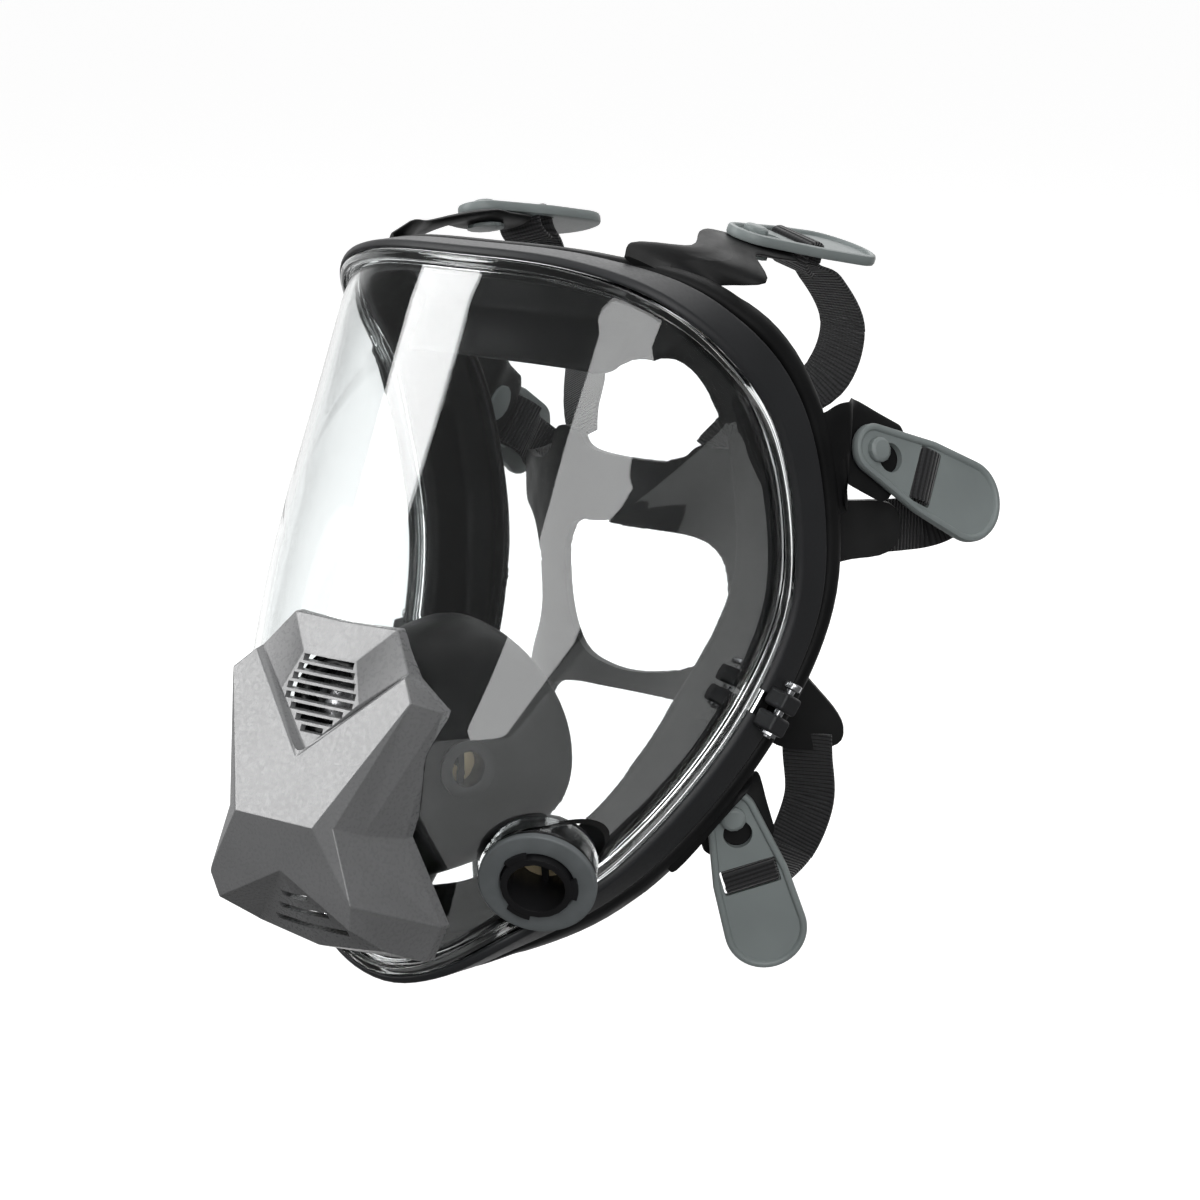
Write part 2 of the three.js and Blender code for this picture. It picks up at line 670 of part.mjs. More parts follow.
const portBodyShape = portBody();
const portGasketShape = tube(GASKET_BORE, GASKET_RADIUS, -GASKET_DEEP, 0, 24);
const portNutShape = tube(PORT_TUBE + GAP, 17.1, collarBack - GAP - 2.2, collarBack - GAP);
const FLAP_THICK = 0.7;
const flap = (radius, from) => tube(1.6, radius, from, from + FLAP_THICK, 16);
const portFlapShape = flap(11, PORT_BACK - GAP - FLAP_THICK);
for (const [label, side] of Object.entries(SIDES)) {
  const place = placeAt(mirrored(PORT_CENTRE, side), mirrored(PORT_AXIS, side));
  add(`filter_port_${label}`, portBodyShape, BLACK_PLASTIC, place);
  add(`filter_gasket_${label}`, portGasketShape, GREY_RUBBER, place);
  add(`filter_port_nut_${label}`, portNutShape, BLACK_PLASTIC, place);
  add(`inhalation_flap_${label}`, portFlapShape, VALVE_RUBBER, place);
}

// ---------------------------------------------------------------------------
// Speech unit and exhalation valve
// ---------------------------------------------------------------------------

const speechPlace = placeAt(speechCentre, SPEECH_AXIS);
const SPEECH_TUBE = SPEECH_HOLE - 0.4;
add('speech_housing', turned([
  [12, -24], [13.8, -24], [13.8, -10], [19, -10], [19, -8], [SPEECH_TUBE, -8],
  [SPEECH_TUBE, -0.8], [12.9, -0.8], [12.9, -4.4], [11, -4.4], [11, -10], [12, -10],
]), BLACK_PLASTIC, speechPlace);
add('speech_gasket', tube(15.2, 18.6, -7.7, -6.8), GREY_RUBBER, speechPlace);
add('speaking_diaphragm', disc(12.6, -4.1, -3.7), STEEL, speechPlace);
add('diaphragm_ring', tube(9.8, 12.6, -3.4, -1), BLACK_PLASTIC, speechPlace);

const valvePlace = placeAt(valveCentre, VALVE_AXIS);
const VALVE_TUBE = VALVE_HOLE - 0.4;
const seatFlange = { front: valveCollar.back - 1.9, back: valveCollar.back - 3.9 };
const VALVE_SEAT_TOP = 2.5;
function exhalationSeat() {
  const seat = turned([
    [11, -21], [13, -21], [13, seatFlange.back], [18, seatFlange.back], [18, seatFlange.front],
    [VALVE_TUBE, seatFlange.front], [VALVE_TUBE, VALVE_SEAT_TOP], [12.4, VALVE_SEAT_TOP],
    [12.4, seatFlange.front], [11, seatFlange.back],
  ]);
  return join(seat, ...valveWeb(13, 0.4, VALVE_SEAT_TOP - 0.4, VALVE_SEAT_TOP + 4.2));
}
add('exhalation_valve_seat', exhalationSeat(), BLACK_PLASTIC, valvePlace);
add('exhalation_gasket', tube(16, 18, valveCollar.back - 1.6, valveCollar.back - GAP),
  GREY_RUBBER, valvePlace);
add('exhalation_flap', flap(14, VALVE_SEAT_TOP + GAP), VALVE_RUBBER, valvePlace);

// ---------------------------------------------------------------------------
// Front cover: a faceted X whose arms stand over a recessed upper plate
// ---------------------------------------------------------------------------

// Half of the cover's corners; each name off the centre line has a mirrored twin.
const CORNERS = {
  topMiddle: [0, -53.5, -109], topCorner: [22.6, -53, -108.6],
  grilleTop: [11.7, -60.2, -118.9], grilleTopMiddle: [0, -60.6, -118.9],
  grilleWide: [17.3, -65.1, -131.4], grilleLow: [4.9, -69.2, -142.4],
  grilleLowMiddle: [0, -69.2, -142.4], plateShoulder: [32.3, -58.3, -120.2],
  plateTip: [0, -71.6, -147.4], shoulder: [32.9, -60.5, -121], armTip: [0, -76, -148.6],
  elbow: [39.4, -64.9, -127.3], shoulderBack: [44.5, -56, -131],
  waistMiddle: [0, -86.3, -166.7], waist: [17.1, -86.3, -166.7], waistSide: [23, -83, -166.5],
  waistFold: [25.5, -72.5, -170.5], waistBack: [28.5, -57, -174],
  apex: [0, -83.8, -183.9], panelApex: [0, -82.2, -186.2], foot: [31.5, -84.3, -189.5],
  footTip: [29.3, -82.6, -198.2], footBack: [36.5, -49, -203], panelCorner: [28.4, -66.1, -208.9],
  panelMiddle: [0, -67.2, -211.9], baseCorner: [30.5, -50, -215.5], baseMiddle: [0, -50, -218],
};
// The faces of one half, each turning left round its corners as seen from the front.
const COVER_FACES = [
  ['topMiddle', 'grilleTopMiddle', 'grilleTop'], ['topMiddle', 'grilleTop', 'topCorner'],
  ['topCorner', 'grilleTop', 'grilleWide'], ['topCorner', 'grilleWide', 'plateShoulder'],
  ['plateShoulder', 'grilleWide', 'grilleLow'], ['plateShoulder', 'grilleLow', 'plateTip'],
  ['grilleLow', 'grilleLowMiddle', 'plateTip'],
  ['grilleTopMiddle', 'grilleLowMiddle', 'grilleLow'],
  ['grilleTopMiddle', 'grilleLow', 'grilleWide'], ['grilleTopMiddle', 'grilleWide', 'grilleTop'],
  ['plateShoulder', 'plateTip', 'armTip'], ['plateShoulder', 'armTip', 'shoulder'],
  ['shoulder', 'armTip', 'elbow'], ['armTip', 'waist', 'elbow'],
  ['armTip', 'waistMiddle', 'waist'], ['shoulder', 'elbow', 'shoulderBack'],
  ['elbow', 'waist', 'waistSide'], ['elbow', 'waistSide', 'waistFold'],
  ['elbow', 'waistFold', 'shoulderBack'], ['shoulderBack', 'waistFold', 'waistBack'],
  ['waistMiddle', 'apex', 'waist'], ['apex', 'footTip', 'foot'], ['apex', 'foot', 'waist'],
  ['waist', 'foot', 'waistSide'], ['waistSide', 'foot', 'footBack'],
  ['waistSide', 'footBack', 'waistFold'], ['waistFold', 'footBack', 'waistBack'],
  ['foot', 'footTip', 'panelCorner'], ['foot', 'panelCorner', 'baseCorner'],
  ['foot', 'baseCorner', 'footBack'], ['apex', 'panelApex', 'panelCorner'],
  ['apex', 'panelCorner', 'footTip'], ['panelApex', 'panelMiddle', 'panelCorner'],
  ['panelMiddle', 'baseMiddle', 'baseCorner'], ['panelMiddle', 'baseCorner', 'panelCorner'],
];
const COVER_EDGE = [
  'topMiddle', 'topCorner', 'plateShoulder', 'shoulder', 'shoulderBack', 'waistBack', 'footBack',
  'baseCorner', 'baseMiddle',
];
const COVER_HEART = vec(0, -44, -160);

// The cover's solid block, scaled about its heart and run back by `depth` behind its edge.
function coverBlock(scale, depth) {
  const points = [];
  const index = new Map();
  const corner = (name, side, layer) => {
    const middle = CORNERS[name][0] === 0;
    const key = `${name} ${middle ? 1 : side} ${layer}`;
    if (!index.has(key)) {
      const [x, y, z] = CORNERS[name];
      const point = vec(x * side, y, z).sub(COVER_HEART).multiplyScalar(scale).add(COVER_HEART);
      point.y += layer * depth;
      index.set(key, points.push(point) - 1);
    }
    return index.get(key);
  };
  const triangles = [];
  const face = (a, b, c, side) => triangles.push(side > 0 ? [a, b, c] : [a, c, b]);
  for (const side of Object.values(SIDES)) {
    for (const names of COVER_FACES) {
      face(...names.map((name) => corner(name, side, 0)), side);
    }
    for (let i = 1; i < COVER_EDGE.length; i++) {
      const [a, b] = [COVER_EDGE[i - 1], COVER_EDGE[i]];
      const [p, q] = [corner(a, side, 0), corner(b, side, 0)];
      const [r, s] = [corner(a, side, 1), corner(b, side, 1)];
      face(p, q, s, side);
      face(p, s, r, side);
    }
  }
  const rim = [
    ...COVER_EDGE.map((name) => [name, 1]),
    ...COVER_EDGE.slice(1, -1).reverse().map((name) => [name, -1]),
  ];
  const flat = rim.map(([name, side]) =>
    new THREE.Vector2(CORNERS[name][0] * side, CORNERS[name][2]));
  for (const [a, b, c] of THREE.ShapeUtils.triangulateShape(flat, [])) {
    const [p, q, r] = [a, b, c].map((i) => corner(rim[i][0], rim[i][1], 1));
    const turn = flat[b].clone().sub(flat[a]).cross(flat[c].clone().sub(flat[a]));
    triangles.push(turn > 0 ? [p, r, q] : [p, q, r]);
  }
  return closedMesh(points, triangles);
}

// Everything behind the visor's outer surface moved forward by `ahead`, within the cover's span.
const BEHIND = { halfWidth: 52, top: -98, bottom: -224, columns: 14, rows: 16, back: 20 };
function behindVisor(ahead) {
  const { halfWidth, top, bottom, columns, rows, back } = BEHIND;
  const rings = Array.from({ length: rows + 1 }, (_, i) => {
    const z = THREE.MathUtils.lerp(top, bottom, i / rows);
    const front = Array.from({ length: columns + 1 }, (__, j) => {
      const x = halfWidth * ((2 * j) / columns - 1);
      return vec(x, visorY(x, z) - ahead, z);
    });
    return [...front, vec(halfWidth, back, z), vec(-halfWidth, back, z)];
  });
  return cappedSkin(rings, rings[0].map((p) => new THREE.Vector2(p.x, p.y)));
}

const UPPER_SLOTS = 8;
const LOWER_SLOTS = 3;
const SLOT_HIGH = 2.1;

// Horizontal slots between two heights, as wide as `widthAt` says.
function slots(count, top, bottom, widthAt) {
  return Array.from({ length: count }, (_, i) => {
    const z = THREE.MathUtils.lerp(top, bottom, i / (count - 1));
    const half = widthAt(z);
    return box(vec(-half, -95, z - SLOT_HIGH / 2), vec(half, -40, z + SLOT_HIGH / 2));
  });
}

// The upper grille widens to its middle and narrows again below it.
function upperSlotHalf(z) {
  const [, , wideZ] = CORNERS.grilleWide;
  const { mapLinear } = THREE.MathUtils;
  const margin = 1.4;
  const half = z > wideZ
    ? mapLinear(z, CORNERS.grilleTop[2], wideZ, CORNERS.grilleTop[0], CORNERS.grilleWide[0])
    : mapLinear(z, wideZ, CORNERS.grilleLow[2], CORNERS.grilleWide[0], CORNERS.grilleLow[0]);
  return half - margin;
}
const lowerSlotHalf = (z) => THREE.MathUtils.mapLinear(z, -192, -205, 4.4, 16.5);

const COVER_INNER = 0.925;
function frontCover() {
  const hollow = coverBlock(COVER_INNER, 60);
  return welded(cut(
    coverBlock(1, 4), hollow, behindVisor(0.5),
    ...slots(UPPER_SLOTS, -120.6, -141.2, upperSlotHalf),
    ...slots(LOWER_SLOTS, -193.5, -204.5, lowerSlotHalf),
  ));
}
add('front_cover', frontCover(), COVER_GREY);

// ---------------------------------------------------------------------------
// Nose cup, with its two inhalation valves
// ---------------------------------------------------------------------------

const CUP_MIDDLE_Z = -160;
const CUP_WALL = 2.2;
// Rings from the front wall to the face: depth, half width, and reach up and down.
const CUP_RINGS = [
  { y: -34, lean: 0.17, half: 21, up: 36, down: 37 },
  { y: -14, lean: 0.1, half: 33, up: 42, down: 37 },
  { y: 12, lean: 0, half: 37, up: 45, down: 32 },
  { y: 17, lean: 0, half: 31, up: 38, down: 26 },
];
const CUP_STATIONS = 20;
const CUP_FRONT = -36.5;

function cupRing({ y, lean, half, up, down }, inset) {
  return Array.from({ length: CUP_STATIONS }, (_, i) => {
    const angle = (i * 2 * Math.PI) / CUP_STATIONS;
    const rise = Math.cos(angle) * ((Math.cos(angle) > 0 ? up : down) - inset);
    const bridge = Math.max(0, Math.cos(angle)) ** 2 * 12 * (1 - lean / 0.17);
    const z = CUP_MIDDLE_Z + rise;
    return vec(Math.sin(angle) * (half - inset), y - lean * (37 + rise) - bridge, z);
  });
}

function noseCup() {
  const outer = CUP_RINGS.map((ring) => cupRing(ring, 0));
  const lastRing = CUP_RINGS.length - 1;
  const inner = CUP_RINGS.map((ring, i) => {
    const depth = i === 0 ? CUP_WALL : i === lastRing ? -CUP_WALL : 0;
    return cupRing({ ...ring, y: ring.y + depth }, i === lastRing ? 0 : CUP_WALL);
  });
  const rings = [...outer, ...inner.reverse()];
  const size = CUP_STATIONS;
  const front = vec(0, CUP_FRONT - 6, CUP_MIDDLE_Z);
  const points = [...rings.flat(), front, front.clone().add(vec(0, CUP_WALL, 0))];
  const triangles = rings.slice(1).flatMap((_, i) => band(i * size, (i + 1) * size, size));
  const last = (rings.length - 1) * size;
  for (let j = 0; j < size; j++) {
    const k = (j + 1) % size;
    triangles.push([rings.length * size, j, k]);
    triangles.push([rings.length * size + 1, last + k, last + j]);
  }
  return closedMesh(points, triangles);
}

const NOSE_VALVE = { at: vec(28.5, -29, -156), axis: vec(0.908, -0.419, 0), radius: 7 };
const noseValvePlace = (side) =>
  placeAt(mirrored(NOSE_VALVE.at, side), mirrored(NOSE_VALVE.axis, side));

add('nose_cup', welded(cut(
  noseCup(),
  disc(13.8 + GAP, -40, 0).applyMatrix4(speechPlace),
  disc(13 + GAP, -40, 0).applyMatrix4(valvePlace),
  ...Object.values(SIDES).map((side) =>
    disc(NOSE_VALVE.radius + GAP, -8, 8).applyMatrix4(noseValvePlace(side))),
)), BLACK_RUBBER);

function noseValveSeat() {
  const { radius } = NOSE_VALVE;
  const seat = turned([
    [radius - 1.6, -5.5], [radius, -5.5], [radius, 2], [radius + 2.2, 2], [radius + 2.2, 3.2],
    [radius - 1.6, 3.2],
  ], 20);
  return join(seat, ...valveWeb(radius - 1, -4.5, -3, -9.7));
}
const noseSeatShape = noseValveSeat();
const noseFlapShape = flap(NOSE_VALVE.radius - 0.2, -5.5 - GAP - FLAP_THICK);
for (const [label, side] of Object.entries(SIDES)) {
  add(`nose_valve_seat_${label}`, noseSeatShape, BLACK_PLASTIC, noseValvePlace(side));
  add(`nose_valve_flap_${label}`, noseFlapShape, VALVE_RUBBER, noseValvePlace(side));
}

// ---------------------------------------------------------------------------
// Head harness: a curved cradle and six webbing straps
// ---------------------------------------------------------------------------

const CRADLE = { middleY: 85, hook: 40, halfWidth: 84, thick: 2.6, top: -60, bottom: -180 };
const cradleY = (x) => CRADLE.middleY + CRADLE.hook * (x / CRADLE.halfWidth) ** 2;
const CRADLE_HALF = [
  [0, -75], [22, -74], [26, -68], [43, -68], [48, -81], [66, -85], [83, -84], [83, -103],
  [66, -105], [57, -116], [54, -138], [70, -160], [69, -170], [51, -171], [43, -161], [26, -157],
  [0, -156],
];
const CRADLE_OPENING = [[0, -98], [28, -99], [36, -108], [34, -130], [24, -146], [0, -150]];

const bothHalves = (half) => [
  ...half,
  ...half.slice(1, -1).reverse().map(([x, z]) => [-x, z]),
].map(([x, z]) => new THREE.Vector2(x, z));

function headCradle() {
  const steps = 22;
  const { halfWidth, thick, top, bottom } = CRADLE;
  const rings = Array.from({ length: steps + 1 }, (_, i) => {
    const x = halfWidth * ((2 * i) / steps - 1);
    const y = cradleY(x);
    return [vec(x, y, top), vec(x, y + thick, top), vec(x, y + thick, bottom), vec(x, y, bottom)];
  });
  const slab = cappedSkin(rings, rings[0].map((p) => new THREE.Vector2(p.y, p.z)));
  const [block, opening] = [CRADLE_HALF, CRADLE_OPENING].map((half) =>
    extruded(new THREE.Shape(bothHalves(half)), 90, 1).rotateX(Math.PI / 2).translate(0, 150, 0),
  );
  return welded(cut(overlap(slab, block), opening));
}
add('head_cradle', headCradle(), BLACK_RUBBER);

// A flat strap along points, its width turning from one direction to the next.
function strap(stops, steps) {
  const path = new THREE.CatmullRomCurve3(stops.map(([at]) => at));
  const turning = new THREE.CatmullRomCurve3(stops.map(([, across]) => across));
  const rings = Array.from({ length: steps + 1 }, (_, i) => {
    const t = i / steps;
    const along = path.getTangent(t);
    const across = turning.getPoint(t).projectOnPlane(along).normalize();
    const face = along.clone().cross(across);
    const at = path.getPoint(t);
    return [[-1, -1], [1, -1], [1, 1], [-1, 1]].map(([a, b]) =>
      at.clone().addScaledVector(across, (a * WEBBING.width) / 2)
        .addScaledVector(face, (b * WEBBING.thick) / 2),
    );
  });
  const square = [[-1, -1], [1, -1], [1, 1], [-1, 1]].map(([a, b]) => new THREE.Vector2(a, b));
  return cappedSkin(rings, square);
}

// Each strap's route after its buckle and the direction of its width there.
const STRAP_ROUTES = {
  forehead: [
    [vec(61, 110, -10), vec(1, 0, 0)], [vec(60, 124, -28), vec(1, 0, 0)],
    [vec(54, 122, -46), vec(1, 0.2, 0)], [vec(35, 100, -63.5), vec(1, 0.4, 0)],
  ],
  temple: [
    [vec(91, 137, -88), vec(0, 0.1, 1)], [vec(90, 138, -93), vec(0, 0, 1)],
    [vec(85.5, 129.3, -93.7), vec(0, 0, 1)],
  ],
  jaw: [
    [vec(58, 86, -212), vec(1, 0.3, 0)], [vec(57, 102, -205), vec(1, 0.3, 0)],
    [vec(60.5, 108, -188), vec(1, 0.3, 0)], [vec(60.4, 107, -172.6), vec(1, 0.3, 0)],
  ],
};
for (const [site, label] of BUCKLE_NAMES) {
  const side = SIDES[label];
  const frame = buckleFrame(site, label);
  const start = SLOT.start + SLOT.length / 2;
  const across = new THREE.Vector3().setFromMatrixColumn(frame, 1);
  const route = STRAP_ROUTES[site].map(([at, wide]) => [mirrored(at, side), mirrored(wide, side)]);
  if (across.dot(route[0][1]) < 0) across.negate();
  const begin = [vec(start, 0, -GAP - WEBBING.thick), vec(start + 6, 0, -5)]
    .map((p) => [p.applyMatrix4(frame), across]);
  add(`${site}_strap_${label}`, strap([...begin, ...route], 14), WEB_BLACK);
}

export default mask;
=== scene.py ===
import math

import bmesh
import bpy
from mathutils import Matrix, Quaternion, Vector


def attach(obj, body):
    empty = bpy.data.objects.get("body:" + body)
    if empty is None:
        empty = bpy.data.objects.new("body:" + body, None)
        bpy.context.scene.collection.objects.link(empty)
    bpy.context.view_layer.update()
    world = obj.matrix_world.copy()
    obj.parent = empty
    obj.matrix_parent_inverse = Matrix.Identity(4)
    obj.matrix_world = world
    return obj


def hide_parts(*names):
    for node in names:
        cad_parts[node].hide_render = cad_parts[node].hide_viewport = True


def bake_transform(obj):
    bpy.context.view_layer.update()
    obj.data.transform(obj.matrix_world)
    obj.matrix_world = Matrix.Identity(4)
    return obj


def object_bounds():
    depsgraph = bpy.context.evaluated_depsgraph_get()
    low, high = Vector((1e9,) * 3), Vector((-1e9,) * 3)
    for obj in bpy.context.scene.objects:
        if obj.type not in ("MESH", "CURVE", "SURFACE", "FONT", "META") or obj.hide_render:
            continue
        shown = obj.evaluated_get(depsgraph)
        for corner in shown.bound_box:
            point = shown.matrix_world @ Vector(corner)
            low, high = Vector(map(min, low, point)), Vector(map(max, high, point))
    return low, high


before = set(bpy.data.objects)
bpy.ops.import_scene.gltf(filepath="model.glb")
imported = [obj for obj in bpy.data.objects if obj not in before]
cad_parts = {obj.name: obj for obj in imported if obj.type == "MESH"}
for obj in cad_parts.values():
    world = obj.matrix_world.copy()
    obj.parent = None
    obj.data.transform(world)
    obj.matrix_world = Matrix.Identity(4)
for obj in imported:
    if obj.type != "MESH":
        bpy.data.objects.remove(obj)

# The looks of a full face respirator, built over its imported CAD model.
# The scene is in metres. Shapes are laid out in millimetres from the top centre of the visor's
# lip, as the CAD is: +X is the wearer's left, +Y runs back and +Z is up.

cad_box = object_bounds()
MM = 0.001
FACE_CENTRE = Vector((0, 75, -117))
UP = Vector((0, 0, 1))
BACK = Vector((0, 1, 0))
SIDES = {"left": 1, "right": -1}

# ---------------------------------------------------------------------------
# Camera, floor and light
# ---------------------------------------------------------------------------

CAMERA = {"azimuth": 41.0, "elevation": 11.8, "distance": 1.3, "lens": 114.86}
CAMERA_TARGET = Vector((0, -0.00586, -0.00437))
FLOOR_GAP = 0.004


def direction(azimuth, elevation):
    """Unit vector from the object towards a viewer: azimuth 0 is in front and 90 at the left."""
    a, e = math.radians(azimuth), math.radians(elevation)
    return Vector((math.sin(a) * math.cos(e), -math.cos(a) * math.cos(e), math.sin(e)))


def aim(obj, at, target):
    obj.location = at
    obj.rotation_mode = "QUATERNION"
    obj.rotation_quaternion = (target - at).to_track_quat("-Z", "Y")


def add_to_scene(obj):
    bpy.context.scene.collection.objects.link(obj)
    return obj


def make_camera():
    camera = add_to_scene(bpy.data.objects.new("camera", bpy.data.cameras.new("camera")))
    camera.data.lens = CAMERA["lens"]
    camera.data.sensor_width = 36
    camera.data.clip_start = 0.05
    away = direction(CAMERA["azimuth"], CAMERA["elevation"])
    aim(camera, CAMERA_TARGET + away * CAMERA["distance"], CAMERA_TARGET)
    bpy.context.scene.camera = camera


# The world's bright wall: where it is, how near a ray must point to it, and the light's range.
BRIGHT_WALL = (-139, 0)
WALL_EDGE = (0.6, 0.85)
WORLD_STRENGTH = (0.12, 0.95)
FLOOR_RADIUS = 9
FLOOR_GREY = (0.5, 0.5, 0.5)
FLOOR_GLOW = 0.85
# Softboxes: azimuth, elevation, distance, width, height, roll and power.
SOFTBOXES = {
    "bright_strip": (-49, 28, 1.5, 0.34, 1.5, 28, 13),
    "wide_panel": (51, 22, 1.7, 1.1, 1.5, 8, 17),
    "top_panel": (10, 78, 1.6, 1.2, 1.0, 0, 5),
    "back_left": (178, 50, 1.6, 0.9, 1.0, 0, 5),
    "back_right": (-140, 40, 1.6, 0.9, 1.0, 0, 5),
}


def make_softboxes():
    for name, (azimuth, elevation, distance, width, height, roll, power) in SOFTBOXES.items():
        light = bpy.data.lights.new(name, "AREA")
        light.shape = "RECTANGLE"
        light.size, light.size_y = width, height
        light.energy = power
        lamp = add_to_scene(bpy.data.objects.new(name, light))
        aim(lamp, direction(azimuth, elevation) * distance, Vector((0, 0, 0)))
        lamp.rotation_quaternion @= Quaternion((0, 0, 1), math.radians(roll))


def make_world():
    """Dim light all round, with one bright wall behind the mask."""
    world = bpy.data.worlds.new("studio")
    bpy.context.scene.world = world
    world.use_nodes = True
    nodes, links = world.node_tree.nodes, world.node_tree.links
    background = nodes["Background"]
    coordinates = nodes.new("ShaderNodeTexCoord")
    facing = nodes.new("ShaderNodeVectorMath")
    facing.operation = "DOT_PRODUCT"
    facing.inputs[1].default_value = direction(*BRIGHT_WALL)
    ramp = nodes.new("ShaderNodeMapRange")
    ramp.inputs["From Min"].default_value = WALL_EDGE[0]
    ramp.inputs["From Max"].default_value = WALL_EDGE[1]
    ramp.inputs["To Min"].default_value = WORLD_STRENGTH[0]
    ramp.inputs["To Max"].default_value = WORLD_STRENGTH[1]
    links.new(coordinates.outputs["Generated"], facing.inputs[0])
    links.new(facing.outputs["Value"], ramp.inputs["Value"])
    links.new(ramp.outputs[0], background.inputs["Strength"])
    background.inputs["Color"].default_value = (1, 1, 1, 1)


def make_floor():
    """A pale round floor, hidden from diffuse and glossy rays so that it doesn't light the mask."""
    floor_mesh = bpy.data.meshes.new("floor")
    shape = bmesh.new()
    bmesh.ops.create_circle(shape, cap_ends=True, segments=96, radius=FLOOR_RADIUS)
    shape.to_mesh(floor_mesh)
    shape.free()
    floor = add_to_scene(bpy.data.objects.new("floor", floor_mesh))
    floor.location.z = cad_box[0].z - FLOOR_GAP
    paper = plain_material("floor_paper", FLOOR_GREY, 0.9)
    glow = paper.node_tree.nodes["Principled BSDF"].inputs
    glow["Emission Color"].default_value = (1, 1, 1, 1)
    glow["Emission Strength"].default_value = FLOOR_GLOW
    floor.data.materials.append(paper)
    floor.visible_diffuse = False
    floor.visible_glossy = False


# ---------------------------------------------------------------------------
# Materials
# ---------------------------------------------------------------------------


def plain_material(name, color, roughness, metallic=0.0):
    material = bpy.data.materials.new(name)
    material.use_nodes = True
    shader = material.node_tree.nodes["Principled BSDF"]
    shader.inputs["Base Color"].default_value = (*color, 1)
    shader.inputs["Roughness"].default_value = roughness
    shader.inputs["Metallic"].default_value = metallic
    return material


class Surface:
    """A material whose colour, roughness and relief are built up from procedural layers."""

    def __init__(self, name, color, roughness, metallic=0.0, specular=0.5):
        self.material = plain_material(name, color, roughness, metallic)
        self.tree = self.material.node_tree
        self.shader = self.tree.nodes["Principled BSDF"]
        self.shader.inputs["Specular IOR Level"].default_value = specular
        self.color = color
        self.relief = None
        self.place = self.node("ShaderNodeTexCoord").outputs["Object"]

    def node(self, kind, **settings):
        made = self.tree.nodes.new(kind)
        for name, value in settings.items():
            if name in made.inputs:
                made.inputs[name].default_value = value
            else:
                setattr(made, name, value)
        return made

    def link(self, output, target):
        self.tree.links.new(output, target)

    def noise(self, size, detail=4.0):
        """Noise whose blotches are about size metres across, from 0 to 1."""
        made = self.node("ShaderNodeTexNoise", Scale=1 / size, Detail=detail)
        self.link(self.place, made.inputs["Vector"])
        return made.outputs["Fac"]

    def tint(self, size, darker, lighter, detail=3.0):
        """Colour that wanders between two shares of the base colour."""
        ramp = self.node("ShaderNodeValToRGB")
        low, high = ramp.color_ramp.elements
        low.position, high.position = 0.35, 0.65
        low.color = (*[c * darker for c in self.color], 1)
        high.color = (*[c * lighter for c in self.color], 1)
        self.link(self.noise(size, detail), ramp.inputs["Fac"])
        self.link(ramp.outputs["Color"], self.shader.inputs["Base Color"])
        return self

    def gloss(self, size, low, high, detail=4.0):
        spread = self.node("ShaderNodeMapRange")
        spread.inputs["From Min"].default_value = 0.3
        spread.inputs["From Max"].default_value = 0.7
        spread.inputs["To Min"].default_value = low
        spread.inputs["To Max"].default_value = high
        self.link(self.noise(size, detail), spread.inputs["Value"])
        self.link(spread.outputs[0], self.shader.inputs["Roughness"])
        return self

    def raise_by(self, height, strength, distance):
        """Relief from a height between 0 and 1, on top of any relief there is."""
        bump = self.node("ShaderNodeBump", Strength=strength, Distance=distance)
        self.link(height, bump.inputs["Height"])
        if self.relief:
            self.link(self.relief, bump.inputs["Normal"])
        self.relief = bump.outputs["Normal"]
        self.link(self.relief, self.shader.inputs["Normal"])
        return self

    def grain(self, size, strength, distance, detail=2.0):
        return self.raise_by(self.noise(size, detail), strength, distance)


def clear_polycarbonate():
    made = Surface("clear_polycarbonate", (0.965, 0.985, 0.985), 0.015)
    made.shader.inputs["Transmission Weight"].default_value = 1.0
    made.shader.inputs["IOR"].default_value = 1.56
    return made.gloss(0.05, 0.01, 0.035).grain(0.06, 0.06, 0.0004, 1.0).material


def moulded_plastic(name, color, roughness, specular=0.4, grain=0.0009, depth=0.00006):
    made = Surface(name, color, roughness, specular=specular)
    made.tint(0.02, 0.95, 1.04)
    made.gloss(0.0012, roughness - 0.03, roughness + 0.04, 1.0)
    return made.grain(grain, 0.12, depth, 0.0).material


def black_rubber():
    made = Surface("black_rubber", (0.008, 0.0082, 0.0085), 0.55, specular=0.2)
    made.tint(0.035, 0.75, 1.5)
    made.gloss(0.012, 0.46, 0.62)
    return made.grain(0.0007, 0.3, 0.00008).grain(0.012, 0.2, 0.0003, 1.0).material


def soft_rubber(name, color, roughness):
    made = Surface(name, color, roughness)
    made.tint(0.01, 0.9, 1.08)
    made.gloss(0.004, roughness - 0.06, roughness + 0.08)
    return made.grain(0.0006, 0.25, 0.00006).material


